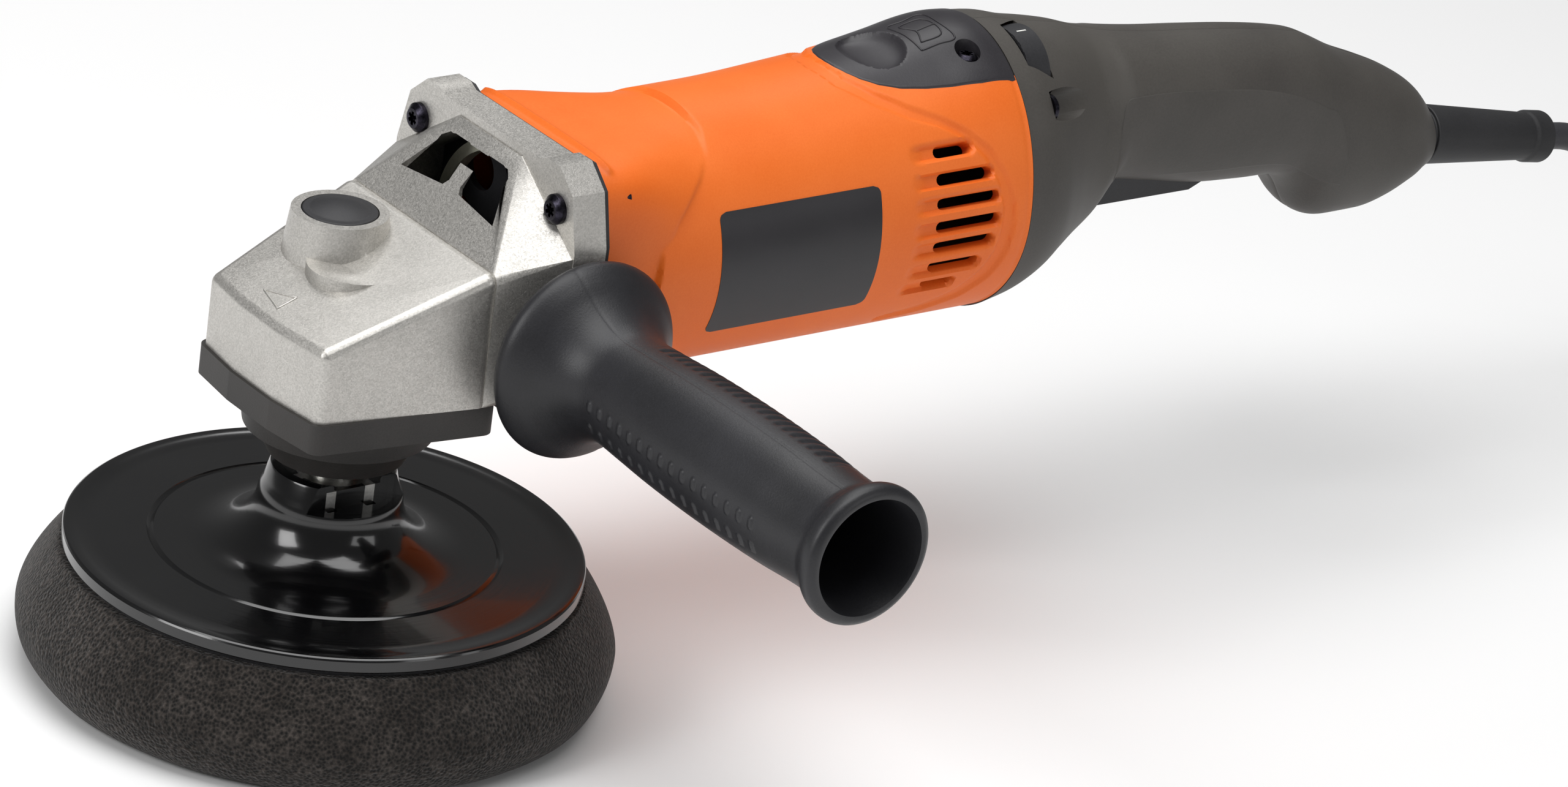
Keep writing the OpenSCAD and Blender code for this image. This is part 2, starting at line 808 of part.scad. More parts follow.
module trigger() {
  color(dark) translate([0, 9.4, 0]) rotate([90, 0, 0]) linear_extrude(18.8) difference() {
    polygon([[262.5, 108], [265, 107.2], [303, 106.9], [308, 109], [311, 113], [311, 118],
             [308, 121], [303, 121], [295, 117.6], [280, 119.4], [264, 120.4], [262.5, 119]]);
    translate([trig_x, trig_z]) circle(1.56);
  }
}

// ---------- lock button ----------

module lock_button() {
  x = lock_pos[0];
  y = lock_pos[1];
  color([0.2, 0.19, 0.2]) difference() {
    union() {
      zcyl(130.8, 136.2, 10.9, x, y);
      intersection() {
        translate([x, y, 137.9 - 26]) sphere(26, $fn = 64);
        zcyl(136.2, 139, 10.9, x, y);
      }
    }
    zcyl(130, 134, 8.5, x, y);
    zcyl(130, 135.5, 2.5, x, y);
  }
}

module lock_pin() {
  color("silver") zcyl(98.6, 135.5, 2.5, lock_pos[0], lock_pos[1]);
}

module lock_spring() {
  color("gray") difference() {
    zcyl(126, 134, 5, lock_pos[0], lock_pos[1]);
    zcyl(125, 135, 4.2, lock_pos[0], lock_pos[1]);
  }
}

// ---------- side handle ----------

// Outline: [distance from the head along the axis, radius]
grip_out = [[boss_y, 24], [47.2, 27.5], [49.4, guard_d / 2 - 0.3], [50.8, guard_d / 2],
  [52.6, guard_d / 2 - 0.5], [55.5, 27], [59, 23.4], [63, 20.2], [68, 17.8], [74, 16.7],
  [84, 17.2], [100, 18.1], [125, 18.6], [150, 18.2], [166, 17.3], [173, 17.2], [176.5, 18.4],
  [178.5, 20], [181, end_ring_d / 2], [183, end_ring_d / 2 - 0.4], [184, end_ring_d / 2 - 1.6]];

module side_handle() {
  color([0.14, 0.14, 0.15]) translate([grip_x, 0, grip_z]) rotate([90, 0, 0]) difference() {
    rotate_extrude($fn = 72) polygon(concat([[0, boss_y]],
      [for (p = grip_out) [p[1], p[0]]],
      [[17.6, 184], [16.2, 181], [14.6, 168], [15.4, 150], [15.6, 125], [15, 100], [13.8, 84],
       [13.4, 76], [12, 72], [0, 72]]));
    translate([0, 0, 40]) cylinder(h = 40, r = 4.05);
  }
}

module side_handle_stud() {
  color("silver") translate([grip_x, 0, grip_z]) rotate([90, 0, 0]) {
    translate([0, 0, 33]) cylinder(h = 13, r = 3.38);
    translate([0, 0, 46]) cylinder(h = 26, r = 4);
    translate([0, 0, 72]) cylinder(h = 5.3, r = 7.5, $fn = 6);
  }
}

// ---------- cord ----------

module cord_boot() {
  color([0.12, 0.12, 0.12]) boot_frame() difference() {
    union() {
      translate([0, 0, -12]) cylinder(h = 3.2, r = 10.4);
      translate([0, 0, -9]) cylinder(h = 11.4, r = 8.4);
      translate([0, 0, 2.3]) cylinder(h = 45.7, r1 = 9.6, r2 = 7.7);
      translate([0, 0, 48]) cylinder(h = 2, r1 = 7.7, r2 = 8.4);
      translate([0, 0, 50]) cylinder(h = boot_l - 50, r = 8.4);
    }
    translate([0, 0, -13]) cylinder(h = boot_l + 13, r = cord_r);
  }
}

module cord_clamp() {
  color(dark) difference() {
    box([378, -11, 104], [386, 11, 110]);
    for (s = [-1, 1]) zcyl(100, 115, 1.6, 382, s * 8);
  }
}

module cord_clamp_screws() {
  color("dimgray") for (s = [-1, 1]) translate([382, s * 8, 110]) pan_screw(8, 2.6, 1.8, 1.55);
}

// Sweeps an n-sided tube along points in a plane y = const or flat on the floor
function unit(v) = v / norm(v);
function tangent(p, i) = unit(p[min(i + 1, len(p) - 1)] - p[max(i - 1, 0)]);

module tube(p, t0, t1, r = cord_r, n = 10) {
  m = len(p);
  pts = [for (i = [0 : m - 1])
    let (t = i == 0 ? t0 : i == m - 1 ? t1 : tangent(p, i),
         u = unit(cross(t, abs(t[1]) > 0.9 ? [1, 0, 0] : [0, 1, 0])), v = cross(t, u))
      each [for (k = [0 : n - 1]) p[i] + r * (cos(360 * k / n) * u + sin(360 * k / n) * v)]];
  polyhedron(points = pts, convexity = 4, faces = concat(
    [[for (k = [0 : n - 1]) k]],
    [for (i = [0 : m - 2]) for (k = [0 : n - 1])
      each let (a = i * n + k, b = i * n + (k + 1) % n) [[a, a + n, b], [b, a + n, b + n]]],
    [[for (k = [n - 1 : -1 : 0]) (m - 1) * n + k]]));
}

// Catmull-Rom curve through hand-chosen points
function spline(a, b, c, d, t) = 0.5 * (2 * b + (c - a) * t
  + (2 * a - 5 * b + 4 * c - d) * t * t + (3 * b - a - 3 * c + d) * t * t * t);
function curve(p, k) = concat([for (i = [0 : len(p) - 2]) for (j = [0 : k - 1])
  spline(p[max(i - 1, 0)], p[i], p[i + 1], p[min(i + 2, len(p) - 1)], j / k)],
  [p[len(p) - 1]]);

floor_z = cord_r + 0.1;
coil_top = floor_z + cord_d * (coil_layers - 1);
lead_pts = [exit_p, exit_p + 14 * [cos(boot_tilt), 0, -sin(boot_tilt)], [489, 0, 88.5], [509, 0, 73],
  [527, 0, 53], [545, 0, 33], [564, 0, 17], [583, 0, 7.6], [600, 0, floor_z], [coil_pos[0] - 7, 0, floor_z]];
end_y = coil_pos[1] - coil_out;
end_z = floor_z + cord_d;
plug_p = [536, end_y - 4.5, 9];
end_pts = [[coil_pos[0] - 7, end_y, end_z], [598, end_y - 0.5, end_z], [584, end_y - 2, 11.8],
  [570, end_y - 3.5, 8.4], [553, end_y - 4.5, 8.4], plug_p];

module cord_lead() {
  color([0.25, 0.25, 0.26]) tube(curve(lead_pts, 4), [cos(boot_tilt), 0, -sin(boot_tilt)], [1, 0, 0]);
}

module cord_coil() {
  lo = coil_in - cord_r;
  hi = coil_out + cord_r;
  color([0.25, 0.25, 0.26]) difference() {
    translate([coil_pos[0], coil_pos[1], 0.1]) rotate_extrude($fn = 96)
      polygon([[lo, 3], [lo + 3, 0], [hi - 3, 0], [hi, 3], [hi, coil_top + cord_r - 3],
               [hi - 3, coil_top + cord_r], [lo + 3, coil_top + cord_r], [lo, coil_top + cord_r - 3]]);
    box([coil_pos[0] - 70, -cord_r - 1, -1], [coil_pos[0] - 7, 20, 2 * cord_r + 1]);
    box([coil_pos[0] - 70, end_y - 20, 2 * cord_r + 0.05], [coil_pos[0] - 7, end_y + cord_r + 3, 40]);
    translate([coil_pos[0], coil_pos[1], 0]) box([coil_in - 8, -5.6, -1], [coil_out + 8, 5.6, 60]);
  }
}

// Hook-and-loop tie around the coil's +X side
module cord_tie() {
  lo = coil_in - cord_r;
  hi = coil_out + cord_r;
  color("black") translate([coil_pos[0], coil_pos[1] + 5.5, 0]) rotate([90, 0, 0])
    linear_extrude(11) translate([lo - 1.2, 0.05]) square([hi - lo + 2.4, coil_top + cord_r + 1.2]);
}

module cord_end() {
  color([0.25, 0.25, 0.26]) tube(curve(end_pts, 4), [-1, 0, 0], [-1, 0, 0]);
}

module mains_plug() {
  color([0.12, 0.12, 0.12]) translate(plug_p) rotate([0, -90, 0]) {
    cylinder(h = 16, r1 = cord_r + 0.6, r2 = 7);
    translate([0, 0, 16]) linear_extrude(26) hull()
      for (s = [-1, 1]) translate([0, s * 10]) circle(8.5, $fn = 40);
  }
}

module plug_pins() {
  color("silver") translate(plug_p) rotate([0, -90, 0])
    for (s = [-1, 1]) translate([0, s * 9.5, 42]) cylinder(h = 19, r = 2.4);
}

// ---------- what is drawn ----------

gear_housing();
gear_cover();
gear_cover_screws();
head_screws();
mid_plate();
air_guide();
motor_housing();
top_cover();
top_cover_screw();
badge_plate();
stator_core();
stator_windings();
armature_front_bearing();
armature_rear_bearing();
spindle_top_bearing();
spindle_lower_bearing();
countershaft_front_bearing();
countershaft_rear_bearing();
spindle_seal();
brush_holders();
carbon_brushes();
brush_springs();
handle_shell_left();
handle_shell_right();
grip_pads();
handle_screws();
handle_mount_screws();
switch_body();
speed_module();
trigger_pin();
cord_clamp();
cord_clamp_screws();
cord_boot();
side_handle();
side_handle_stud();
cord_lead();
cord_coil();
cord_tie();
cord_end();
mains_plug();
plug_pins();
spindle();
crown_gear();
gear_clip();
plate_insert();
backing_plate();
hook_disc();
foam_pad();
countershaft();
spur_gear();
armature_shaft();
armature_core();
commutator();
cooling_fan();
lock_button();
lock_pin();
lock_spring();
trigger();
switch_plunger();
speed_dial();
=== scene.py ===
"""Rotary polisher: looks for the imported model, piece by piece in the order it is assembled."""
import math

import bmesh
import bpy
import numpy as np
from mathutils import Matrix, Vector
from mathutils.bvhtree import BVHTree


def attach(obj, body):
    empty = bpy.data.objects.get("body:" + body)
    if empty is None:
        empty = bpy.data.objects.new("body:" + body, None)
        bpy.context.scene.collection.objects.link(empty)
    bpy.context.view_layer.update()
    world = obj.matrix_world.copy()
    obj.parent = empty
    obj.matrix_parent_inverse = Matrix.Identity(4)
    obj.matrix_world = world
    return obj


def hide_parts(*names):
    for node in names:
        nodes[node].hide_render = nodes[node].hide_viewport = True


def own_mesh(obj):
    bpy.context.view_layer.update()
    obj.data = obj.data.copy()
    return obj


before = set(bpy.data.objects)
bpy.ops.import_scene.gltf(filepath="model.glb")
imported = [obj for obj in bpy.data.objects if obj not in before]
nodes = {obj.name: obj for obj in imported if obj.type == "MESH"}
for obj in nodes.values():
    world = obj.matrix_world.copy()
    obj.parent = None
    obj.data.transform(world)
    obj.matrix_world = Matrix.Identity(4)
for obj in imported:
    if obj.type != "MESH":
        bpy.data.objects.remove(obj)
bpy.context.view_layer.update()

# ---------------------------------------------------------------- camera
# A long lens a couple of metres off, a little above the tool and rolled, so
# that the tool's upright leans to the right.
LOOK_AT = Vector((0.0987, -0.07518, 0.10221))
AZIMUTH, ELEVATION, ROLL = (math.radians(v) for v in (-40.07, 24.23, 7.95))
back = Vector((math.sin(AZIMUTH) * math.cos(ELEVATION),
               -math.cos(AZIMUTH) * math.cos(ELEVATION), math.sin(ELEVATION)))
level = Vector((math.cos(AZIMUTH), math.sin(AZIMUTH), 0))
above = back.cross(level)
right = level * math.cos(ROLL) + above * math.sin(ROLL)
upward = above * math.cos(ROLL) - level * math.sin(ROLL)
lens = bpy.data.cameras.new("camera")
lens.lens, lens.sensor_width, lens.clip_start, lens.clip_end = 160.55, 36, 0.05, 50
camera = bpy.data.objects.new("camera", lens)
camera.matrix_world = (Matrix.Translation(LOOK_AT + back * 1.97616)
                       @ Matrix((right, upward, back)).transposed().to_4x4())
bpy.context.scene.collection.objects.link(camera)
bpy.context.scene.camera = camera


# ---------------------------------------------------------------- mains cord
# Rubber-sheathed 8.8 mm mains lead, put away in a neat coil of two layers with
# a hook-and-loop tie, and a moulded two-pin plug on its end.
def linear(code):
    """The linear colour of an sRGB hex code."""
    v = np.array([int(code[i:i + 2], 16) for i in (1, 3, 5)]) / 255
    return (*np.where(v <= 0.04045, v / 12.92, ((v + 0.055) / 1.055) ** 2.4), 1.0)


def add(tree, kind, inputs=None, **settings):
    """Adds a node with its settings and its input values or links."""
    node = tree.nodes.new(kind)
    for key, value in settings.items():
        setattr(node, key, value)
    for key, value in (inputs or {}).items():
        if isinstance(value, bpy.types.NodeSocket):
            tree.links.new(value, node.inputs[key])
        else:
            node.inputs[key].default_value = value
    return node


def start_finish(name, **sockets):
    """A named material with one Principled shader; sockets are set on it as constants."""
    material = bpy.data.materials.new(name)
    material.use_nodes = True
    tree = material.node_tree
    tree.nodes.clear()
    shader = add(tree, "ShaderNodeBsdfPrincipled",
                 {k.replace("_", " "): v for k, v in sockets.items()})
    add(tree, "ShaderNodeOutputMaterial", {"Surface": shader.outputs["BSDF"]})
    place = add(tree, "ShaderNodeTexCoord").outputs["Object"]
    return material, tree, shader, place


def grained(name, dark, light, rough, grain_mm, depth_mm, blotch_mm=30.0, **sockets):
    """Moulded or blasted surface: fine grain in relief, slow colour and gloss variation."""
    material, tree, shader, place = start_finish(name, **sockets)
    grain = add(tree, "ShaderNodeTexNoise",
                {"Vector": place, "Scale": 1000 / grain_mm, "Detail": 2.0, "Roughness": 0.6})
    blotch = add(tree, "ShaderNodeTexNoise",
                 {"Vector": place, "Scale": 1000 / blotch_mm, "Detail": 3.0, "Roughness": 0.55})
    both = add(tree, "ShaderNodeMix", {"Factor": 0.35, "A": blotch.outputs["Fac"],
                                       "B": grain.outputs["Fac"]}, data_type="FLOAT")
    share = add(tree, "ShaderNodeMapRange", {"Value": both.outputs["Result"], "From Min": 0.36,
                                             "From Max": 0.64})
    colour = add(tree, "ShaderNodeMix", {0: share.outputs["Result"], 6: linear(dark),
                                         7: linear(light)}, data_type="RGBA")
    gloss = add(tree, "ShaderNodeMapRange", {"Value": both.outputs["Result"], "To Min": rough[0],
                                             "To Max": rough[1]})
    tree.links.new(colour.outputs[2], shader.inputs["Base Color"])
    tree.links.new(gloss.outputs["Result"], shader.inputs["Roughness"])
    relief = add(tree, "ShaderNodeBump", {"Height": grain.outputs["Fac"], "Strength": 1.0,
                                          "Distance": depth_mm / 1000})
    tree.links.new(relief.outputs["Normal"], shader.inputs["Normal"])
    return material


def quads_of(rows, cols, wrap=False):
    """Quads of a rows x cols grid numbered row by row; wrap joins the last column to the first."""
    i, j = np.meshgrid(np.arange(rows - 1), np.arange(cols if wrap else cols - 1), indexing="ij")
    a, b = i * cols + j, i * cols + (j + 1) % cols
    return np.stack([a, b, b + cols, a + cols], -1).reshape(-1, 4)


def piece(name, points, faces, material, body, sharp=35, hides=(), cuts=()):
    """An object from points in mm: doubles merged, normals outward, edges over sharp degrees
    kept hard, cutter objects subtracted and thrown away; then ridden, slotted and put in the
    place of the CAD nodes it hides."""
    mesh = bpy.data.meshes.new(name)
    mesh.from_pydata((np.asarray(points) / 1000).tolist(), [], [list(f) for f in faces])
    obj = bpy.data.objects.new(name, mesh)
    bpy.context.scene.collection.objects.link(obj)
    clean(mesh, sharp)
    for tool in cuts:
        bpy.context.scene.collection.objects.link(tool)
        cut = obj.modifiers.new("cut", "BOOLEAN")
        cut.operation, cut.solver, cut.object = "DIFFERENCE", "EXACT", tool
    if cuts:
        settle(obj)
        clean(obj.data, sharp)
    for tool in cuts:
        bpy.data.objects.remove(tool)
    obj.data.materials.clear()
    obj.data.materials.append(material)
    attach(obj, body)
    if hides:
        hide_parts(*hides)
    return obj


def clean(mesh, sharp, merge=2e-6):
    """Merges doubles, turns faces outward, smooths edges below the sharp angle."""
    bm = bmesh.new()
    bm.from_mesh(mesh)
    bmesh.ops.remove_doubles(bm, verts=bm.verts, dist=merge)
    bmesh.ops.recalc_face_normals(bm, faces=bm.faces)
    limit = math.radians(sharp)
    for face in bm.faces:
        face.smooth = True
    for edge in bm.edges:
        edge.smooth = edge.calc_face_angle(0) < limit
    bm.to_mesh(mesh)
    bm.free()


def settle(obj):
    """Applies the object's modifiers to its mesh."""
    graph = bpy.context.evaluated_depsgraph_get()
    mesh = bpy.data.meshes.new_from_object(obj.evaluated_get(graph))
    obj.modifiers.clear()
    obj.data = mesh


def tube(path, radius, sides):
    """A round tube: every point of the path carries a circle at right angles to it; closed ends."""
    path = np.asarray(path, float)
    way = np.gradient(path, axis=0)
    way /= np.linalg.norm(way, axis=1)[:, None]
    side = np.cross(way, (0, 0, 1.0))
    weak = np.linalg.norm(side, axis=1) < 0.2
    side[weak] = np.cross(way[weak], (0, 1.0, 0))
    side /= np.linalg.norm(side, axis=1)[:, None]
    top = np.cross(side, way)
    turn = np.linspace(0, 2 * np.pi, sides, endpoint=False)
    ring = path[:, None] + radius * (np.cos(turn)[None, :, None] * side[:, None]
                                     + np.sin(turn)[None, :, None] * top[:, None])
    n = len(path)
    faces = [*quads_of(n, sides, True), range(sides), range((n - 1) * sides, n * sides)]
    return ring.reshape(-1, 3), faces


def through(points, per_span):
    """Catmull-Rom curve through points: cubic between each pair, slopes from the neighbours."""
    p = np.asarray(points, float)
    q = np.vstack([2 * p[0] - p[1], p, 2 * p[-1] - p[-2]])
    t = np.linspace(0, 1, per_span, endpoint=False)[:, None]
    spans = [0.5 * (2 * b + (c - a) * t + (2 * a - 5 * b + 4 * c - d) * t ** 2
                    + (3 * b - a - 3 * c + d) * t ** 3)
             for a, b, c, d in zip(q[:-3], q[1:-2], q[2:-1], q[3:])]
    return np.vstack([*spans, p[-1:]])


CORD_D = 8.8
FLOOR_Z = CORD_D / 2 + 0.1
BOOT_START = np.array((404.0, 0, 107))
BOOT_TILT = math.radians(9.2)
BOOT_WAY = np.array((math.cos(BOOT_TILT), 0, -math.sin(BOOT_TILT)))
BOOT_LENGTH = 56.5
exit_point = BOOT_START + BOOT_LENGTH * BOOT_WAY
coil_r = 37.5 + 4 * 1.02 * CORD_D
coil_x, coil_y = 620.0, -coil_r
CLIMB_END, TOP_END = 1575, 3060      # degrees wound when the climb is over, and at the end
lead = [exit_point, exit_point + 14 * BOOT_WAY, (489, 0, 88.5), (509, 0, 73), (527, 0, 53),
        (545, 0, 33), (564, 0, 17), (583, 0, 7.6), (600, 0, FLOOR_Z), (613, 0, FLOOR_Z)]


def coil_turns():
    """Two flat spirals with a pitch of one diameter: inward on the floor, a climb over a third
    of a turn at the inside, outward on top, ending half a turn on."""
    turn = np.arange(0, TOP_END + 1, 6.0)
    inward = coil_r - CORD_D * turn / 360
    outward = coil_r - CORD_D * (TOP_END - turn) / 360
    innermost = coil_r - CORD_D * CLIMB_END / 360
    settled = coil_r - CORD_D * (TOP_END - CLIMB_END - 240) / 360
    across = np.interp(turn, [CLIMB_END, CLIMB_END + 240], [innermost, settled])
    r = np.where(turn < CLIMB_END, inward, np.where(turn < CLIMB_END + 240, across, outward))
    share = np.clip((turn - CLIMB_END + 120) / 120, 0, 1)
    z = FLOOR_Z + CORD_D * share * share * (3 - 2 * share)
    angle = np.radians(90 - turn)
    return np.stack([coil_x + r * np.cos(angle), coil_y + r * np.sin(angle), z], 1)


end_y = coil_y - coil_r
end = [(613, end_y, FLOOR_Z + CORD_D), (598, end_y - 0.5, FLOOR_Z + CORD_D),
       (584, end_y - 2, 11.8), (570, end_y - 3.5, 8.4), (553, end_y - 4.5, 8.4),
       (536, end_y - 4.5, 9)]
route = np.vstack([through(lead, 6), coil_turns(), through(end, 5)])
# soft PVC: a dull, even dark grey with a broad soft highlight
sheath = grained("pvc_sheath_semi_matt", "#2C2C30", "#38383C", (0.42, 0.55), 0.9, 0.03)
points, faces = tube(route, CORD_D / 2, 14)
cord = piece("mains_cord", points, faces, sheath, "housing", 60,
             ("cord_lead", "cord_coil", "cord_end"))


# ---------------------------------------------------------------- foam pad
# Black polyurethane polishing foam, 34 mm thick, cut round with a bulged edge.
# Open cells are painted dark as painted shade, and their torn rims are painted grey as painted
# highlights, showing as fine grey points.
def revolved(profile, sides, shift=None):
    """A profile of (radius, height) turned about Z; shift(height index, angle) adds to the radius."""
    profile = np.asarray(profile, float)
    turn = np.linspace(0, 2 * np.pi, sides, endpoint=False)
    radius = profile[:, :1] + (0 if shift is None else shift(profile, turn))
    height = np.repeat(profile[:, 1:], sides, 1)
    ring = np.stack([radius * np.cos(turn), radius * np.sin(turn), height], -1)
    return ring.reshape(-1, 3), quads_of(len(profile), sides, True)


# painted shade in the open cells; their torn rims carry painted highlights, as fine grey points
foam, tree, shader, place = start_finish("polyurethane_foam_open_cell", Roughness=0.95,
                                         Specular_IOR_Level=0.25, Sheen_Weight=0.15)
cells = add(tree, "ShaderNodeTexVoronoi", {"Vector": place, "Scale": 1000 / 1.1})  # 1.1 mm cells
fine = add(tree, "ShaderNodeTexNoise", {"Vector": place, "Scale": 1000 / 0.9, "Detail": 4.0})
patch = add(tree, "ShaderNodeTexNoise", {"Vector": place, "Scale": 1000 / 14, "Detail": 3.0})
mixed = add(tree, "ShaderNodeMath", {0: cells.outputs["Distance"], 1: fine.outputs["Fac"]},
            operation="MULTIPLY")
# painted highlight on the cell rims, painted shade inside the cells
rim_light_share = add(tree, "ShaderNodeMapRange", {"Value": mixed.outputs[0], "From Min": 0.10, "From Max": 0.50})
cell_shade_rim_light = add(tree, "ShaderNodeMix", {0: rim_light_share.outputs["Result"], 6: linear("#0B0A09"),
                                    7: linear("#4A4440")}, data_type="RGBA")
worn = add(tree, "ShaderNodeMapRange", {"Value": patch.outputs["Fac"], "From Min": 0.3, "From Max": 0.7})
tone = add(tree, "ShaderNodeMix", {0: worn.outputs["Result"], 6: linear("#B0ABA6"),
                                   7: linear("#FFFFFF")}, data_type="RGBA")
skin = add(tree, "ShaderNodeMix", {0: 1.0, 6: cell_shade_rim_light.outputs[2], 7: tone.outputs[2]},
           data_type="RGBA", blend_type="MULTIPLY")
tree.links.new(skin.outputs[2], shader.inputs["Base Color"])
relief = add(tree, "ShaderNodeBump", {"Height": mixed.outputs[0], "Strength": 1.0,
                                      "Distance": 0.0009})
tree.links.new(relief.outputs["Normal"], shader.inputs["Normal"])

PAD_R, PAD_T, PAD_WIDE = 86.3, 34.0, 14.5
angle = np.radians(np.linspace(-90, 0, 14))
lower = np.stack([PAD_R - 9 + 9 * np.cos(angle), PAD_WIDE + PAD_WIDE * np.sin(angle)], 1)
share = np.linspace(0, 1, 16)[1:]
upper = np.stack([PAD_R - (PAD_R - 75.4) * share ** 1.5, PAD_WIDE + (PAD_T - PAD_WIDE) * share], 1)
face_r = np.linspace(0.001, PAD_R - 9, 12)[:-1]
profile = np.vstack([np.stack([face_r, np.zeros(11)], 1), lower, upper,
                     [(74.6, PAD_T), (40, PAD_T), (0.001, PAD_T)]])
rng = np.random.default_rng(7)
wobble = rng.normal(0, 1, (3, 2))


def foam_shift(outline, turn):
    """Hand-cut edge: a few tenths of slow waviness, none at the middle of the faces."""
    wave = sum(a * np.cos(k * turn) + b * np.sin(k * turn)
               for k, (a, b) in zip((3, 7, 13), wobble)) * 0.12
    return np.where(outline[:, :1] > 76, 1, 0) * wave


points, faces = revolved(profile, 220, foam_shift)
foam_pad = piece("foam_pad_cut", points, faces, foam, "spindle", 50, ("foam_pad",))
# woven hooks: a rough matt band between plate and foam
hook = grained("nylon_hook_fabric", "#1E1E20", "#3A3A3C", (0.8, 0.95), 0.7, 0.3)

# ---------------------------------------------------------------- backing plate
# Glossy black moulded plastic turned on its top face, so faint concentric
# marks and a little dust show; a flared hub with two wrench flats.
# mirrors the studio in streaks that the turning marks break up
gloss, tree, shader, place = start_finish("abs_gloss_turned", Coat_Weight=0.4,
                                          Coat_Roughness=0.06, IOR=1.52)
flat = add(tree, "ShaderNodeMapping", {"Vector": place, "Scale": (1, 1, 0)})
radius = add(tree, "ShaderNodeVectorMath", {0: flat.outputs["Vector"]}, operation="LENGTH")
rings = add(tree, "ShaderNodeTexNoise", {"W": radius.outputs["Value"], "Scale": 1000 / 1.3,
                                         "Detail": 3.0}, noise_dimensions="1D")
dust = add(tree, "ShaderNodeTexNoise", {"Vector": place, "Scale": 1000 / 1.6, "Detail": 5.0,
                                        "Roughness": 0.7})
smear = add(tree, "ShaderNodeTexNoise", {"Vector": place, "Scale": 1000 / 35, "Detail": 2.0})
settled = add(tree, "ShaderNodeMapRange", {"Value": dust.outputs["Fac"], "From Min": 0.66,
                                           "From Max": 0.80})
film = add(tree, "ShaderNodeMix", {0: settled.outputs["Result"], 6: linear("#060607"),
                                   7: linear("#302E2E")}, data_type="RGBA")
wiped = add(tree, "ShaderNodeMapRange", {"Value": smear.outputs["Fac"], "To Min": 0.10, "To Max": 0.24})
tree.links.new(film.outputs[2], shader.inputs["Base Color"])
tree.links.new(wiped.outputs["Result"], shader.inputs["Roughness"])
relief = add(tree, "ShaderNodeBump", {"Height": rings.outputs["Fac"], "Strength": 0.35,
                                      "Distance": 0.00006})
tree.links.new(relief.outputs["Normal"], shader.inputs["Normal"])


def cutter(name, low, high):
    """A plain box used only to cut, never kept."""
    x, y, z = np.meshgrid(*zip(low, high), indexing="ij")
    mesh = bpy.data.meshes.new(name)
    mesh.from_pydata((np.stack([x, y, z], -1).reshape(-1, 3) / 1000).tolist(), [],
                     [(0, 1, 3, 2), (4, 6, 7, 5), (0, 4, 5, 1), (2, 3, 7, 6), (0, 2, 6, 4),
                      (1, 5, 7, 3)])
    return bpy.data.objects.new(name, mesh)


def rod_cutter(name, start, end, radius, sides=48):
    """A plain rod used only to cut."""
    points, faces = tube(np.linspace(start, end, 2), radius, sides)
    mesh = bpy.data.meshes.new(name)
    mesh.from_pydata((points / 1000).tolist(), [], [list(f) for f in faces])
    clean(mesh, 30)
    return bpy.data.objects.new(name, mesh)


FLAT_Y, FLAT_Z, HUB_TOP, PLATE_TOP = 12.3, 56.5, 64.0, 39.9
flare = np.radians(np.linspace(0, 90, 20))
profile = np.vstack([
    [(7.7, 35.52), (30, 35.52), (74.4, 35.52), (75, 36.1), (75, 39.1), (74.7, 39.6), (74.2, 39.9),
     (71.5, 39.9), (71.2, 39.75), (66, 39.8), (51.1, PLATE_TOP), (50.7, 39.5), (50.1, 39.2),
     (49.5, 39.5), (49.1, PLATE_TOP), (44, PLATE_TOP)],
    np.stack([20.8 + 20 * (1 - np.sin(flare)), PLATE_TOP + 16 * (1 - np.cos(flare))], 1),
    [(20.2, 57.5), (19.4, 59.5), (18.3, HUB_TOP - 0.7), (18.0, HUB_TOP - 0.15), (17.6, HUB_TOP),
     (15, HUB_TOP), (14.6, 63.4), (14.6, 62), (7.7, 62), (7.7, 35.52)]])
points, faces = revolved(profile, 256)
cuts = [cutter("flat_near", (-30, -30, FLAT_Z), (30, -FLAT_Y, 70)),
        cutter("flat_far", (-30, FLAT_Y, FLAT_Z), (30, 30, 70)),
        cutter("arm_a", (-10.26, -14, 50), (-6.94, 14, 62.02)),
        cutter("arm_b", (2.84, -14, 50), (6.16, 14, 62.02)),
        cutter("arm_c", (-14.62, -1.66, 50), (14.62, 1.66, 62.02)),
        rod_cutter("insert_bore", (0, 0, 50), (0, 0, 62.02), 10.82)]
piece("backing_plate_turned", points, faces, gloss, "spindle", 28,
      ("backing_plate",), cuts)

# ---------------------------------------------------------------- carried-over metal
# Ground steel, blackened screws and the sealed-in parts keep their CAD shape.
# Bright ground steel with small sharp highlights; oil-black screws that shine
# a little violet; iron, copper, brass and carbon dull enough to tell apart.
steel = grained("ground_steel", "#A8A8A6", "#D0CFCB", (0.22, 0.36), 0.6, 0.01, 8, Metallic=1.0)
black_steel = grained("blackened_steel_oiled", "#1A1A1E", "#3C3944", (0.2, 0.4), 0.5, 0.02, 3,
                      Metallic=1.0)
laminated, tree, shader, place = start_finish("stacked_iron_laminations", Metallic=1.0,
                                              Roughness=0.5)
sheets = add(tree, "ShaderNodeTexWave", {"Vector": place, "Scale": 1000 / 1.0 / 20 * math.pi},
             bands_direction="X")
edges = add(tree, "ShaderNodeMix", {0: sheets.outputs["Fac"], 6: linear("#4A4A4C"),
                                    7: linear("#7A7A7C")}, data_type="RGBA")
tree.links.new(edges.outputs[2], shader.inputs["Base Color"])
copper = grained("enamelled_copper", "#8A4A22", "#B8683A", (0.3, 0.45), 1.0, 0.05, 6, Metallic=1.0)
brass = grained("pressed_brass", "#A88438", "#C8A24E", (0.25, 0.4), 0.8, 0.02, 8, Metallic=1.0)
carbon = grained("pressed_carbon", "#18181A", "#2A2A2C", (0.6, 0.8), 0.6, 0.05, 6)
fan_nylon = grained("glass_filled_nylon_red", "#7A1E12", "#B03420", (0.45, 0.6), 0.8, 0.04)
cream = grained("polyamide_cream", "#C9C8B4", "#DEDDCB", (0.4, 0.55), 0.8, 0.03)
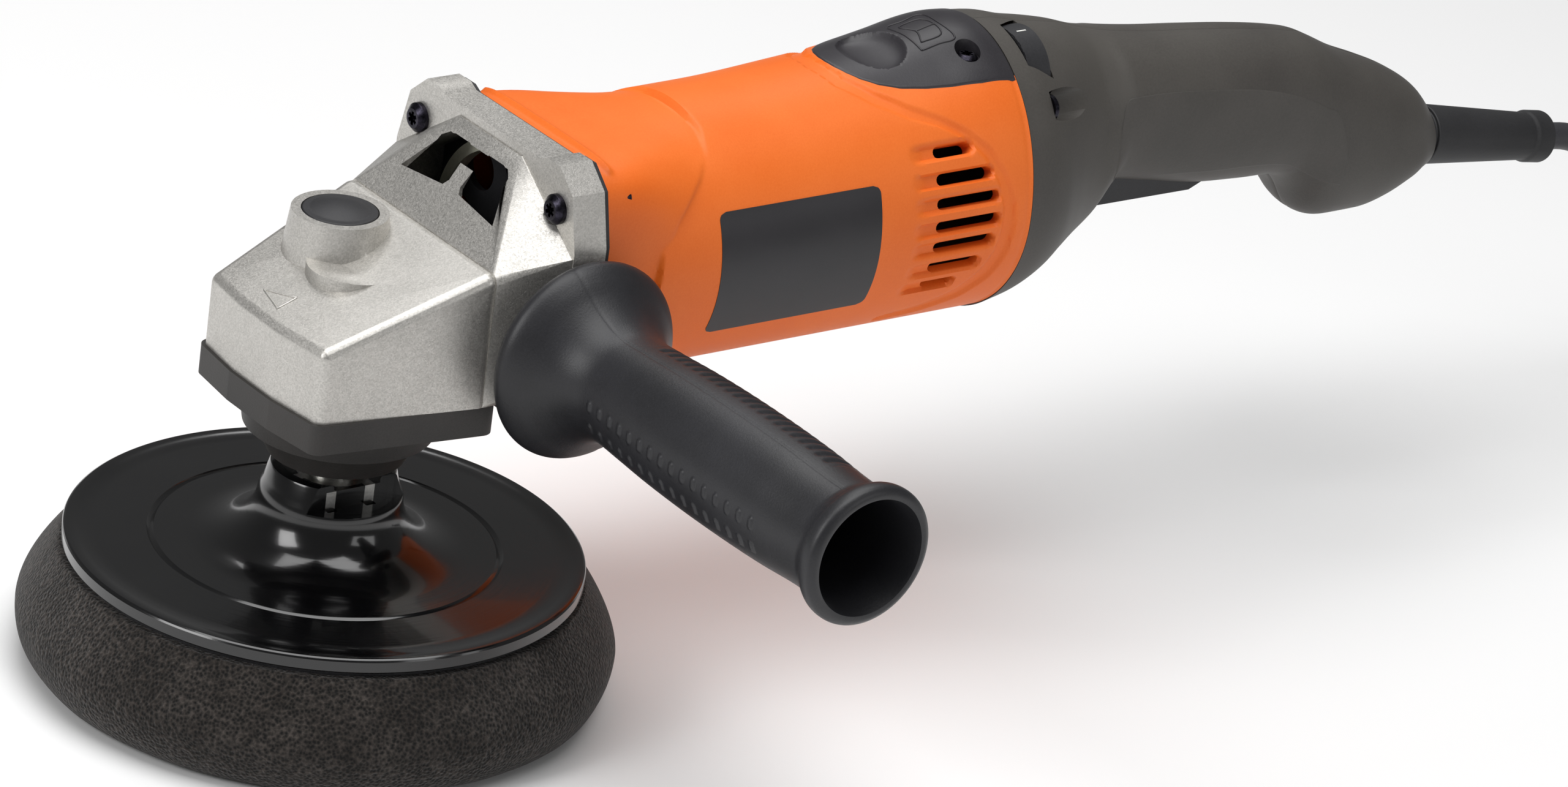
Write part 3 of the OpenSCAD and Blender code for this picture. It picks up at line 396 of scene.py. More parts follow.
dark_nylon = grained("glass_filled_nylon_black", "#1B1B1E", "#29292C", (0.45, 0.6), 0.7, 0.04)
board = grained("potted_circuit_resin", "#12301E", "#1E4A30", (0.3, 0.5), 1.5, 0.1)
rubber = grained("chloroprene_rubber_matt", "#1C1C1E", "#28282A", (0.5, 0.65), 0.8, 0.04)
white = grained("acetal_white", "#D8D8D4", "#E6E6E2", (0.35, 0.5), 1.0, 0.02)
for material, names in {
    steel: ["plate_insert", "spindle", "crown_gear", "gear_clip", "spindle_top_bearing",
            "spindle_lower_bearing", "countershaft_front_bearing", "countershaft_rear_bearing",
            "armature_front_bearing", "armature_rear_bearing", "countershaft", "spur_gear",
            "armature_shaft", "lock_pin", "lock_spring", "trigger_pin", "side_handle_stud",
            "plug_pins", "brush_springs"],
    black_steel: ["gear_cover_screws", "handle_screws", "handle_mount_screws",
                  "cord_clamp_screws"],
    laminated: ["stator_core", "armature_core"], copper: ["stator_windings", "commutator"],
    brass: ["brush_holders"], carbon: ["carbon_brushes"], fan_nylon: ["cooling_fan"],
    cream: ["air_guide"], dark_nylon: ["switch_body", "cord_clamp"], board: ["speed_module"],
    rubber: ["spindle_seal", "mains_plug"], white: ["switch_plunger"],
    hook: ["hook_disc", "cord_tie"],
}.items():
    for name in names:
        for slot in nodes[name].material_slots:
            slot.material = material


# ---------------------------------------------------------------- gear head
# Die-cast aluminium, bead blasted to a fine sparkle, with rounded cast edges;
# the cover under it is a darker casting.
def rounded_copy(node, material, body, radius_mm, sharp=30, segments=3):
    """The CAD node's shape with flat areas joined and its edges rounded."""
    bm = bmesh.new()
    bm.from_mesh(nodes[node].data)
    bmesh.ops.remove_doubles(bm, verts=bm.verts, dist=2e-6)
    bmesh.ops.dissolve_limit(bm, angle_limit=math.radians(0.6), verts=bm.verts, edges=bm.edges)
    mesh = bpy.data.meshes.new(node + "_finished")
    bm.to_mesh(mesh)
    bm.free()
    obj = bpy.data.objects.new(node + "_finished", mesh)
    bpy.context.scene.collection.objects.link(obj)
    if radius_mm:
        bevel = obj.modifiers.new("round", "BEVEL")
        bevel.width, bevel.segments = radius_mm / 1000, segments
        bevel.limit_method, bevel.angle_limit = "ANGLE", math.radians(sharp)
        bevel.use_clamp_overlap, bevel.miter_outer = True, "MITER_ARC"
        settle(obj)
    clean(obj.data, 50 if radius_mm else sharp, 1e-6)
    weighted = obj.modifiers.new("even", "WEIGHTED_NORMAL")
    weighted.keep_sharp, weighted.weight = True, 70
    obj.data.materials.clear()
    obj.data.materials.append(material)
    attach(obj, body)
    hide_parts(node)
    return obj


# fine blasted dimples: a pale grey that sparkles and keeps only soft reflections
alu, tree, shader, place = start_finish("aluminium_cast_bead_blasted", Metallic=0.85,
                                        Specular_IOR_Level=0.5)
grit = add(tree, "ShaderNodeTexVoronoi", {"Vector": place, "Scale": 1000 / 0.4})  # 0.4 mm flecks
cloud = add(tree, "ShaderNodeTexNoise", {"Vector": place, "Scale": 1000 / 18, "Detail": 4.0})
fleck = add(tree, "ShaderNodeSeparateColor", {"Color": grit.outputs["Color"]})
shade = add(tree, "ShaderNodeMix", {"Factor": 0.5, "A": cloud.outputs["Fac"],
                                    "B": fleck.outputs["Red"]}, data_type="FLOAT")
blast = add(tree, "ShaderNodeMix", {0: shade.outputs["Result"], 6: linear("#A9A7A2"),
                                    7: linear("#D6D3CE")}, data_type="RGBA")
sheen = add(tree, "ShaderNodeMapRange", {"Value": fleck.outputs["Green"], "To Min": 0.34,
                                         "To Max": 0.50})
tree.links.new(blast.outputs[2], shader.inputs["Base Color"])
tree.links.new(sheen.outputs["Result"], shader.inputs["Roughness"])
relief = add(tree, "ShaderNodeBump", {"Height": fleck.outputs["Blue"], "Strength": 0.6,
                                      "Distance": 0.00005})
tree.links.new(relief.outputs["Normal"], shader.inputs["Normal"])
# the same casting under a dark coat: nearly black with a dry sheen
dark_cast = grained("cast_metal_dark_coated", "#242220", "#353230", (0.45, 0.6), 0.5, 0.06)
rounded_copy("gear_housing", alu, "housing", 0.9)
rounded_copy("gear_cover", dark_cast, "housing", 0.5)
rounded_copy("head_screws", black_steel, "housing", 0.25, 40, 2)
rounded_copy("mid_plate", dark_nylon, "housing", 0, 30)

ground = BVHTree.FromPolygons([tuple(v.co) for v in nodes["gear_housing"].data.vertices],
                              [tuple(p.vertices) for p in nodes["gear_housing"].data.polygons])


def on_top(x, y, lift=0.0):
    """The point of the gear housing's top surface under x, y, raised by lift, in mm."""
    hit = ground.ray_cast(Vector((x / 1000, y / 1000, 0.3)), Vector((0, 0, -1)))[0]
    return np.array((x, y, (hit.z if hit else 0.118) * 1000 + lift))


corners = [(-23.8, 9.4), (-20.0, -1.5), (-26.1, -1.4)]
outline = np.vstack([[on_top(*(np.array(a) * (1 - t) + np.array(b) * t), 0.05)
                      for t in np.linspace(0, 1, 8)]
                     for a, b in zip(corners, corners[1:] + corners[:1])])
points, faces = tube(outline, 0.32, 8)
piece("gear_head_arrow", points, faces, alu, "housing", 60)

# ---------------------------------------------------------------- lock button
# Satin black nylon dome in the cast cone; it presses in along the spindle's axis.
rounded_copy("lock_button", dark_nylon, "lock_button", 0.5, 30)

# The button's return spring: bright wire wound in four and a half turns, which
# stands in the cone.
SPRING_LOW, SPRING_HIGH, WOUND = 126.5, 133.5, 4.5 * 2 * np.pi
SPRING_R, WIRE_R, LOCK_X, LOCK_Y = 4.55, 0.4, 3.5, 15
turn = np.linspace(0, WOUND, 120)
wire = np.stack([LOCK_X + SPRING_R * np.cos(turn), LOCK_Y + SPRING_R * np.sin(turn),
                 np.linspace(SPRING_LOW, SPRING_HIGH, 120)], 1)
points, faces = tube(wire, WIRE_R, 8)
spring = piece("lock_spring_wound", points, faces, steel, "housing", 60, ("lock_spring",))
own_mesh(spring)


# ---------------------------------------------------------------- motor housing
# One orange glass-filled nylon shell: a squared block at the flange that steps
# up to a plain round body, cooling slots in a D-shaped field, a humped top.
def eased(x, xs, ys):
    """Smooth curve through the knots: cubic between them, slopes limited so it never overshoots."""
    xs, ys = np.asarray(xs, float), np.asarray(ys, float)
    h, d = np.diff(xs), np.diff(ys) / np.diff(xs)
    m = np.concatenate([d[:1], (d[:-1] + d[1:]) / 2, d[-1:]])
    m[1:-1][d[:-1] * d[1:] <= 0] = 0
    cap = 3 * np.minimum(np.abs(np.append(d, d[-1])), np.abs(np.insert(d, 0, d[0])))
    m = np.sign(m) * np.minimum(np.abs(m), cap)
    i = np.clip(np.searchsorted(xs, x) - 1, 0, len(h) - 1)
    t = (np.clip(x, xs[0], xs[-1]) - xs[i]) / h[i]
    return ((1 + 2 * t) * (1 - t) ** 2 * ys[i] + t * (1 - t) ** 2 * h[i] * m[i]
            + t * t * (3 - 2 * t) * ys[i + 1] + t * t * (t - 1) * h[i] * m[i + 1])


def ease(v):
    """0 to 1 with soft ends."""
    v = np.clip(v, 0, 1)
    return v * v * (3 - 2 * v)


def line_distance(px, py, line):
    """Distance of every point px, py from an open band of points x, y, half width."""
    best = np.full(np.shape(px), 1e9)
    for (ax, ay, aw), (bx, by, bw) in zip(line[:-1], line[1:]):
        t = np.clip(((px - ax) * (bx - ax) + (py - ay) * (by - ay))
                    / ((bx - ax) ** 2 + (by - ay) ** 2), 0, 1)
        gap = np.hypot(px - ax - t * (bx - ax), py - ay - t * (by - ay))
        best = np.minimum(best, gap - aw - t * (bw - aw))
    return best


MOTOR_Z, MOTOR_R, MOTOR_X0, SEAM_X, BORE_R = 122.5, 40.0, 55.0, 213.0, 36.4
ARC = MOTOR_R * math.pi / 180                       # mm of surface per degree
RIB_X, RIB_H, BAND_DEPTH, RECESS, POCKET = 61.2, 1.4, 0.95, 1.5, 4.4
SLOT_HALF = 1.75                                    # half width of a slot's opening
# x of the curved step by degrees above the side; height of the hump along X;
# each slot's degrees above the side and rear end
STEP = ([0, 15, 28, 43, 54, 67, 84, 90], [77, 78.4, 85.2, 95.5, 100.8, 103.4, 103, 103])
HUMP = ([106, 128, 150, 170, 188, 200, 206, 213], [0, 0.5, 2.2, 4.2, 7.4, 10, 10.5, 10])
SLOTS = [(37, 192.5), (25.5, 199), (15, 201.5), (4.6, 202), (-4.8, 200.5), (-15, 197),
         (-24.5, 190)]
# middle of the sunk band round the slots: x, degrees above the side, half width
FIELD = np.array([(155.8, 92, 3.0), (157.5, 76, 2.6), (164.3, 64, 2.1), (173.5, 54.5, 1.8),
                  (182.3, 48.5, 1.3), (190, 42, 1.2), (197, 33, 1.5), (202, 21.3, 1.8),
                  (204.7, 9.6, 2.2), (205, -0.8, 2.3), (204, -12.2, 2.5), (200.8, -24, 2.8),
                  (194.5, -35, 3.0), (184, -44, 3.0), (172, -48, 2.6)])


def barrel_radius(x, turn):
    """Radius of the round body, whose upper half grows into the hump."""
    tall = MOTOR_R + np.where(np.sin(turn) > 0, eased(x, *HUMP), 0)
    return 1 / np.sqrt((np.cos(turn) / MOTOR_R) ** 2 + (np.sin(turn) / tall) ** 2)


# outline of the black cover on top, seen from above: x, y, width of the line
COVER = np.array([(214, 24.8, 0), (200.4, 24.2, 0), (190.6, 22.7, 0), (182.2, 21, 0),
                  (174.2, 18.7, 0), (168.1, 15.6, 0), (163.9, 12, 0), (161.4, 8.2, 0),
                  (159.9, 4.2, 0), (159.4, 0, 0)])
COVER = np.vstack([COVER, (COVER * (1, -1, 1))[-2::-1]])


def cover_front(y):
    """The x at which the cover's outline starts for each y."""
    return np.interp(-y, -COVER[:, 1], COVER[:, 0])


def motor_point(x, turn):
    """Point of the motor's skin at x and angle turn: a squared section ahead of the curved step,
    a circle with a humped top behind it, and the sunk slots, field groove and ribs."""
    c, s = np.cos(turn), np.sin(turn)
    up = np.degrees(np.arcsin(np.clip(s, -1, 1)))
    power = eased(x, [55, 66, 80, 92, 104], [6.8, 6, 3.8, 2.7, 2.25])
    high = eased(x, [55, 80, 104], [36.7, 37.0, 37.8])
    wide = eased(x, [55, 80, 104], [38.5, 38.0, 38.4])
    block = ((np.abs(c) / wide) ** power + (np.abs(s) / high) ** power) ** (-1 / power)
    barrel = barrel_radius(x, turn)
    behind = ease((x - np.interp(np.abs(up), *STEP)) / 1.6 + 0.5)
    r = block * (1 - behind) + barrel * behind
    rib = np.exp(-((x - RIB_X) / 1.1) ** 2) * ease((up - 47) / 3)
    r = r + RIB_H * rib
    groove = line_distance(x, up * ARC, FIELD * (1, ARC, 1))
    r = r - BAND_DEPTH * ease((0.4 - groove) / 0.9) - 0.25 * np.exp(-((x - 211.6) / 0.8) ** 2)
    for centre, rear in SLOTS:
        slot = line_distance(x, up * ARC, [(171, centre * ARC, 2.0), (rear - 2.2, centre * ARC, 2.0)])
        r = r - RECESS * ease((0.5 - slot) / 0.9) * ease((x - 168) / 7)
    edge = line_distance(x, r * c, COVER)
    inside = (x > cover_front(r * c)) & (np.abs(r * c) < COVER[0, 1]) & (s > 0)
    sink = np.where(inside, ease((edge - 1.6) / 0.8) * POCKET, 0)
    return np.stack([x, (r - sink) * c, MOTOR_Z + (r - sink) * s], -1)


def motor_shell():
    """The outer skin on a grid of length by angle, the plain bore inside, and both end rings."""
    x = np.concatenate([np.linspace(MOTOR_X0, 64.5, 20), np.linspace(65.5, 75.5, 6),
                        np.linspace(76.5, 105, 46), np.linspace(107, 150, 12),
                        np.linspace(151, SEAM_X, 96)])
    turn = np.linspace(0, 2 * np.pi, 360, endpoint=False)
    gx, gt = np.meshgrid(x, turn, indexing="ij")
    outer = motor_point(gx, gt)
    ix, it = np.meshgrid([SEAM_X, 150, 100, MOTOR_X0], turn, indexing="ij")
    inner = np.stack([ix, BORE_R * np.cos(it), MOTOR_Z + BORE_R * np.sin(it)], -1)
    grid = np.concatenate([outer, inner, outer[:1]])
    return grid.reshape(-1, 3), quads_of(len(grid), 360, True)


def slot_cutters():
    """One round-ended bar for every cooling slot, on both sides."""
    made = []
    for side in (-1, 1):
        for centre, rear in SLOTS:
            turn = np.radians(180 - centre if side < 0 else centre)
            out = np.array((0, math.cos(turn), math.sin(turn)))
            across = np.array((0, -math.sin(turn), math.cos(turn)))
            bend = np.linspace(-np.pi / 2, np.pi / 2, 8)
            flat_x = np.concatenate([rear - 2.2 + SLOT_HALF * np.cos(bend),
                                     180 - SLOT_HALF * np.cos(bend)])
            flat_y = SLOT_HALF * np.concatenate([np.sin(bend), -np.sin(bend)])
            ring = [np.array((a, 0, MOTOR_Z)) + across * b for a, b in zip(flat_x, flat_y)]
            points = np.vstack([np.array(ring) + out * r for r in (33, 47)])
            faces = [*quads_of(2, 16, True), range(16), range(16, 32)]
            mesh = bpy.data.meshes.new("slot")
            mesh.from_pydata((points / 1000).tolist(), [], [list(map(int, f)) for f in faces])
            clean(mesh, 30)
            made.append(bpy.data.objects.new("slot", mesh))
    return made


# spark-eroded mould grain: an even satin orange without hard reflections
orange = grained("nylon_orange_fine_spark", "#E86A1D", "#F0762B", (0.42, 0.52), 0.6, 0.025, 40,
                 Specular_IOR_Level=0.32)
points, faces = motor_shell()
piece("motor_housing_moulded", points, faces, orange, "housing", 42,
      ("motor_housing",), slot_cutters())


# ---------------------------------------------------------------- label panel
# Plain black laminated panel set into the motor's side, left blank.
def wall(outer, inner):
    """A closed wall between two rows x cols grids of points: both faces and the rim."""
    rows, cols = outer.shape[:2]
    n = rows * cols
    top = quads_of(rows, cols)
    idx = np.arange(n).reshape(rows, cols)
    loop = np.concatenate([idx[0], idx[1:, -1], idx[-1, -2::-1], idx[-2::-1, 0]])
    rim = np.stack([loop[1:], loop[:-1], loop[:-1] + n, loop[1:] + n], -1)
    return (np.concatenate([outer.reshape(-1, 3), inner.reshape(-1, 3)]),
            np.concatenate([top, top[:, ::-1] + n, rim]))


PANEL_X, PANEL_L, PANEL_HALF, CORNER = 99, 57.8, 28, 2.5    # mm, mm, degrees, mm


def panel_grid(lift):
    """Patch of the body on the -Y side, its corners rounded by a quarter circle's inset."""
    across = np.linspace(-PANEL_HALF, PANEL_HALF, 61)
    edge = np.clip(CORNER - (PANEL_HALF - np.abs(across)) * ARC, 0, CORNER)
    inset = CORNER - np.sqrt(CORNER ** 2 - edge ** 2)
    along = np.linspace(0, 1, 40)
    x = PANEL_X + inset[None] + along[:, None] * (PANEL_L - 2 * inset[None])
    turn = np.radians(180 - across)[None] + 0 * x
    radius = barrel_radius(x, turn) + lift
    return np.stack([x, radius * np.cos(turn), MOTOR_Z + radius * np.sin(turn)], -1)


# smooth film: a quiet dark reflection on the flat panel
panel = grained("polycarbonate_label_black", "#1B1A1D", "#242226", (0.32, 0.44), 0.5, 0.01, 25)
points, faces = wall(panel_grid(0.14), panel_grid(-0.8))
piece("badge_plate_panel", points, faces, panel, "housing", 30, ("badge_plate",))


# ---------------------------------------------------------------- top cover
# Satin black service cover on the motor's hump, with a thumb lip, one screw
# and a plain embossed booklet sign.
def cover_height(x, y):
    """Height of the cover: the motor's hump plus 0.35 mm, with a scooped thumb lip."""
    tall = MOTOR_R + eased(x, *HUMP)
    z = MOTOR_Z + tall * np.sqrt(1 - (y / MOTOR_R) ** 2) + 0.35
    rim = np.sqrt(np.clip(1 - ((x - 176.5) / 9.5) ** 2 - (y / 11.5) ** 2, 0, 1))
    return z - 3.4 * rim * ease((x - 164) / 9)


def cover_grid():
    """Grid between the outline and the seam, its rim rounded down by 0.7 mm."""
    y = 24.5 * np.sin(np.linspace(-np.pi / 2, np.pi / 2, 121))
    front = cover_front(y)
    x = front[None] + np.linspace(0, 1, 120)[:, None] * (SEAM_X - 0.15 - front)[None]
    y = np.broadcast_to(y, x.shape)
    rim = np.minimum(line_distance(x, y, COVER), SEAM_X - x)
    soft = 0.7 * (1 - np.clip(rim / 0.7, 0, 1)) ** 2
    return np.stack([x, y, cover_height(x, y) - soft], -1)


def pocket_grid():
    """Underside of the cover."""
    grid = cover_grid()
    x, y = grid[..., 0], grid[..., 1]
    tall = MOTOR_R + eased(x, *HUMP)
    grid[..., 2] = MOTOR_Z + tall * np.sqrt(1 - (y / MOTOR_R) ** 2) - 3.9
    return grid


# satin black, a shade lighter where the light grazes the grain
cover_black = grained("nylon_black_satin", "#252327", "#302E32", (0.34, 0.46), 0.6, 0.03, 30)
WELL_X, WELL_Y, WELL_Z, WELL_R = 201, -14.7, 167.0, 4.0
screw_well = rod_cutter("well", (WELL_X, WELL_Y, WELL_Z), (WELL_X, WELL_Y, 185), WELL_R)
points, faces = wall(cover_grid(), pocket_grid())
piece("top_cover_moulded", points, faces, cover_black, "housing", 40,
      ("top_cover",), [screw_well])
rounded_copy("top_cover_screw", black_steel, "housing", 0.2, 40, 2)


def raised_line(name, marks, radius, material):
    """Small embossed line laid on the cover through the marks."""
    flat = through(marks, 5)
    line = np.column_stack([flat, cover_height(flat[:, 0], flat[:, 1]) + 0.02])
    points, faces = tube(line, radius, 8)
    return piece(name, points, faces, material, "housing", 60)


raised_line("cover_sign_frame", [(188, -9.5), (188, -1), (188, 7.5), (194, 7.5), (200, 7.5),
                                 (200, -1), (200, -9.5), (194, -9.5), (188.2, -9.5)],
            0.3, cover_black)
raised_line("cover_sign_page", [(190, -6.5), (192, -1), (190, 4.5), (197, 4.5), (198.6, -1),
                                (197, -6.5), (190.2, -6.5)], 0.28, cover_black)
raised_line("cover_sign_fold", [(192, -1), (195, -1), (198.4, -1)], 0.25, cover_black)

# ---------------------------------------------------------------- rear handle
# Two halves of charcoal glass-filled nylon joined on the centre line, with
# soft-touch panels let into both sides and scoops for the fixing screws.
# x, centre height, half width, height above, depth below, exponent of the section
HANDLE = np.array([
    [213, 122.5, 40, 50, 40.6, 2], [222, 122.5, 39.2, 49, 38.2, 2],
    [230, 122.5, 36.5, 47, 35, 2], [238, 122.5, 32, 45.8, 31, 2],
    [246, 122.5, 27.5, 44.2, 27, 2], [254, 122.5, 24, 41.8, 22, 2],
    [260, 128, 22.6, 34.8, 20, 2.1], [266, 136.5, 21.8, 25, 22.4, 2.2],
    [282, 135, 21.5, 24, 23.4, 2.2], [304, 132, 21.2, 24.6, 24.6, 2.2],
    [322, 130.2, 21, 24.2, 24.2, 2.2], [340, 127.8, 21, 23.6, 22.8, 2.2],
    [346, 124, 21, 26, 24, 2.2], [352, 119, 21, 28.4, 27.6, 2.2],
    [362, 115, 20.8, 27.6, 27.2, 2.2], [374, 113, 20, 25, 25.2, 2.2],
    [385, 111.5, 18.6, 21.8, 21.4, 2.2], [394, 109.5, 16.4, 18.6, 15.4, 2.2],
    [400, 108, 13.4, 15, 12, 2], [404, 107, 10.6, 11, 10.6, 2]])


def handle_point(x, turn, draw=0.0):
    """Point of the handle's skin: a superellipse whose centre, half width, heights and exponent
    are eased along X through HANDLE, drawn in by draw."""
    top = eased(x, HANDLE[:, 0], HANDLE[:, 1] + HANDLE[:, 3])
    bottom = eased(x, HANDLE[:, 0], HANDLE[:, 1] - HANDLE[:, 4])
    centre = eased(x, HANDLE[:, 0], HANDLE[:, 1])
    half = eased(x, HANDLE[:, 0], HANDLE[:, 2])
    k = 2 / eased(x, HANDLE[:, 0], HANDLE[:, 5])
    c, s = np.cos(turn), np.sin(turn)
    reach = np.where(s > 0, top - centre, centre - bottom)
    return np.stack([x, (half - draw) * np.sign(c) * np.abs(c) ** k,
                     centre + (reach - draw) * np.sign(s) * np.abs(s) ** k], -1)


def handle_half(side):
    """One half: skin and inner wall on a grid of length by half a turn, closed along the joint."""
    x = np.concatenate([np.linspace(SEAM_X + 0.15, 396, 170), np.linspace(397, 404, 12)])
    a = np.linspace(-np.pi / 2, np.pi / 2, 90)
    turn = np.pi - a if side < 0 else a
    gx, gt = np.meshgrid(x, turn, indexing="ij")
    seam = 0.35 * np.exp(-((np.abs(a) - np.pi / 2) / 0.018) ** 2)[None] + 0 * gx
    outer = handle_point(gx, gt) - (handle_point(gx, gt) - handle_point(gx, gt, 1.0)) * seam[..., None]
    sunk = np.hypot(outer[..., 1] - side * SCOOP_Y, outer[..., 2] - SCOOP_Z) / BOSS_R
    boss = 7 * np.exp(-sunk ** 4) * ease((256 - gx) / 8)
    inner = handle_point(gx, gt, 3.0 + boss)
    hairline = 0.04 * side                          # half the gap between the two halves
    outer[..., 1] += hairline
    inner[..., 1] += hairline
    return wall(outer, inner)


SCOOP_X, SCOOP_Y, SCOOP_Z, SCOOP_R, BOSS_R = 224.5, 27.0, 152.5, 5.0, 8.5
DIAL, DIAL_GAP_R, DIAL_R = (224.5, -8.3, 156.6), 14.9, 14.0
SCREW_HOLES, SCREW_HOLE_R = ((240, 128), (252, 107), (366, 124), (376, 99)), 3.2
# warm charcoal, drier than the orange shell
grey = grained("nylon_charcoal_spark", "#423F3C", "#4E4B47", (0.45, 0.58), 0.7, 0.04, 45,
               Specular_IOR_Level=0.4)
for side, node in ((-1, "handle_shell_left"), (1, "handle_shell_right")):
    cuts = [cutter("trigger_gap", (258, -10.2, 90), (319, 10.2, 127)),
            rod_cutter("scoop", (SCOOP_X, side * SCOOP_Y, SCOOP_Z),
                       (268, side * (SCOOP_Y - 1), SCOOP_Z + 1), SCOOP_R),
            rod_cutter("dial_gap", (219.9, *DIAL[1:]), (229.1, *DIAL[1:]), DIAL_GAP_R, 96)]
    if side > 0:
        cuts += [rod_cutter("screw_hole", (x, 9, z), (x, 45, z), SCREW_HOLE_R, 32)
                 for x, z in SCREW_HOLES]
    points, faces = handle_half(side)
    piece(node + "_moulded", points, faces, grey, "housing", 42, (node,), cuts)


def grip_grid(side, lift, roll=0.0):
    """Soft panel on one side, between a lower and an upper line that change along X."""
    x = np.linspace(259.5, 357.5, 110)
    high = eased(x, [259.5, 261, 265, 289, 327, 345, 352, 357.5],
                 [130, 143, 147.5, 146, 140, 133, 128, 112])
    low = eased(x, [259.5, 262, 300, 335, 350, 357.5], [124, 118.5, 116, 113, 106, 104])
    t = np.linspace(0, 1, 60)
    z = low[:, None] + (high - low)[:, None] * t[None]
    turn = np.linspace(-np.pi / 2, np.pi / 2, 400)
    rows = []
    for xi, zi in zip(x, z):
        ring = handle_point(np.full(400, xi), turn)
        rows.append(np.interp(zi, ring[:, 2], turn))
    a = np.array(rows)
    gx = np.repeat(x[:, None], 60, 1)
    edge = np.minimum(np.minimum(gx - x[0], x[-1] - gx),
                      np.minimum(t, 1 - t)[None] * (high - low)[:, None])
    skin = handle_point(gx, a, -lift)
    soft = roll * (1 - np.clip(edge / 0.7, 0, 1)) ** 2
    skin = skin + (handle_point(gx, a, 1.0) - handle_point(gx, a)) * soft[..., None]
    skin[..., 1] *= side
    return skin


# rubbery skin: the same grey, with hardly any highlight
soft_grip = grained("elastomer_soft_touch", "#454340", "#4F4C49", (0.52, 0.64), 0.8, 0.05, 40,
                    Specular_IOR_Level=0.35)
both = [wall(grip_grid(side, 0.22, 0.5), grip_grid(side, -1.4)) for side in (-1, 1)]
points = np.vstack([both[0][0], both[1][0]])
faces = np.vstack([both[0][1], both[1][1] + len(both[0][0])])
piece("grip_pads_moulded", points, faces, soft_grip, "housing", 40, ("grip_pads",))

# ---------------------------------------------------------------- trigger, dial and boot
# Black paddle trigger, knurled speed dial with printed numbers, and the
# tapered rubber sleeve that guards the cord.
rounded_copy("trigger", dark_nylon, "trigger", 0.8, 30)
rounded_copy("speed_dial", dark_nylon, "speed_dial", 0, 30)
rounded_copy("cord_boot", rubber, "housing", 0.5, 28)


def dial_number(text, degrees):
    """A printed figure wrapped on the dial's rim: flat x runs along the axis, y round the rim."""
    words = bpy.data.curves.new("figure", "FONT")
    words.body, words.size, words.align_x, words.align_y = text, 5.0, "CENTER", "CENTER"
    obj = bpy.data.objects.new("figure", words)
    bpy.context.scene.collection.objects.link(obj)
    mesh = bpy.data.meshes.new_from_object(
        obj.evaluated_get(bpy.context.evaluated_depsgraph_get()))
    co = np.empty(len(mesh.vertices) * 3)
    mesh.vertices.foreach_get("co", co)
    co = co.reshape(-1, 3)
    faces = [tuple(p.vertices) for p in mesh.polygons]
    bpy.data.objects.remove(obj)
    n = len(co)
    layers = []
    for r in (DIAL_R + 0.08, DIAL_R - 0.1):
        a = math.radians(degrees) + co[:, 0] / DIAL_R
        layers.append(np.stack([DIAL[0] + co[:, 1], DIAL[1] + r * np.sin(a),
                                DIAL[2] + r * np.cos(a)], 1))
    faces = faces + [tuple(v + n for v in f[::-1]) for f in faces] + [
        (b, a, a + n, b + n) for a, b in boundary(faces)]
    return np.vstack(layers), faces


def boundary(faces):
    """Edges used by only one face, in that face's direction."""
    seen = {}
    for f in faces:
        for a, b in zip(f, f[1:] + f[:1]):
            seen[(a, b)] = True
    return [e for e in seen if (e[1], e[0]) not in seen]


# thin opaque ink
print_white = grained("pad_print_white", "#D5D5D0", "#E4E4DF", (0.5, 0.6), 1.0, 0.01)
base, all_points, all_faces = 0, [], []
for k in range(6):
    points, faces = dial_number(str(k + 1), -8 + 48 * k)
    all_points.append(points)
    all_faces += [tuple(v + base for v in f) for f in faces]
    base += len(points)
piece("dial_numbers", np.vstack(all_points), all_faces, print_white, "speed_dial",
      30)

# ---------------------------------------------------------------- side handle
# Hollow moulded handle with a hand guard, two rows of grip studs on each flank
# and fine scallops along the back, screwed into the gear head.
GRIP_X, GRIP_Z = 45.0, 111.0
OUT = np.array([[46, 24], [47.2, 27.5], [49.4, 29.5], [50.8, 29.8], [52.6, 29.3], [55.5, 27],
                [59, 23.4], [63, 20.2], [68, 17.8], [74, 16.7], [84, 17.2], [100, 18.1],
                [125, 18.6], [150, 18.2], [166, 17.3], [173, 17.2], [176.5, 18.4], [178.5, 20],
                [181, 20.6], [183, 20.2], [184, 19]])
INNER = [(184.2, 18.2), (184, 17.2), (181, 16.4), (168, 14.6), (150, 15.4), (125, 15.6),
         (100, 15), (84, 13.8), (76, 13.4), (72, 12), (72, 0.001)]


def grip_relief(along, turn):
    """Height added to the outside: studs on both flanks, scallops behind, a parting line."""
    around = 18 * turn
    out = np.zeros(np.broadcast(along, turn).shape)
    for centre in (math.pi, math.pi + 0.43, 0.0, -0.43):
        gap = np.abs((turn - centre + math.pi) % (2 * math.pi) - math.pi) * 18
        cell = (along - 77 + 2.57) % 5.13 - 2.57
        stud = ease(1.6 - np.hypot(np.maximum(gap - 0.9, 0), cell) / 0.75)
        out = out + 0.5 * stud * ((along > 75.5) & (along < 156))
    gap = np.abs((turn - math.radians(63) + math.pi) % (2 * math.pi) - math.pi)
    band = ease((0.5 - gap) / 0.16) * ease((along - 80) / 2) * ease((163 - along) / 2)
    out = out - 0.75 * band * (0.5 + 0.5 * np.cos((along - 80) / 3.77 * 2 * math.pi)) ** 2
    line = np.abs((turn - math.radians(104) + math.pi) % math.pi - 0) * 18
    return out - 0.18 * np.exp(-(np.minimum(line, math.pi * 18 - line) / 0.35) ** 2)


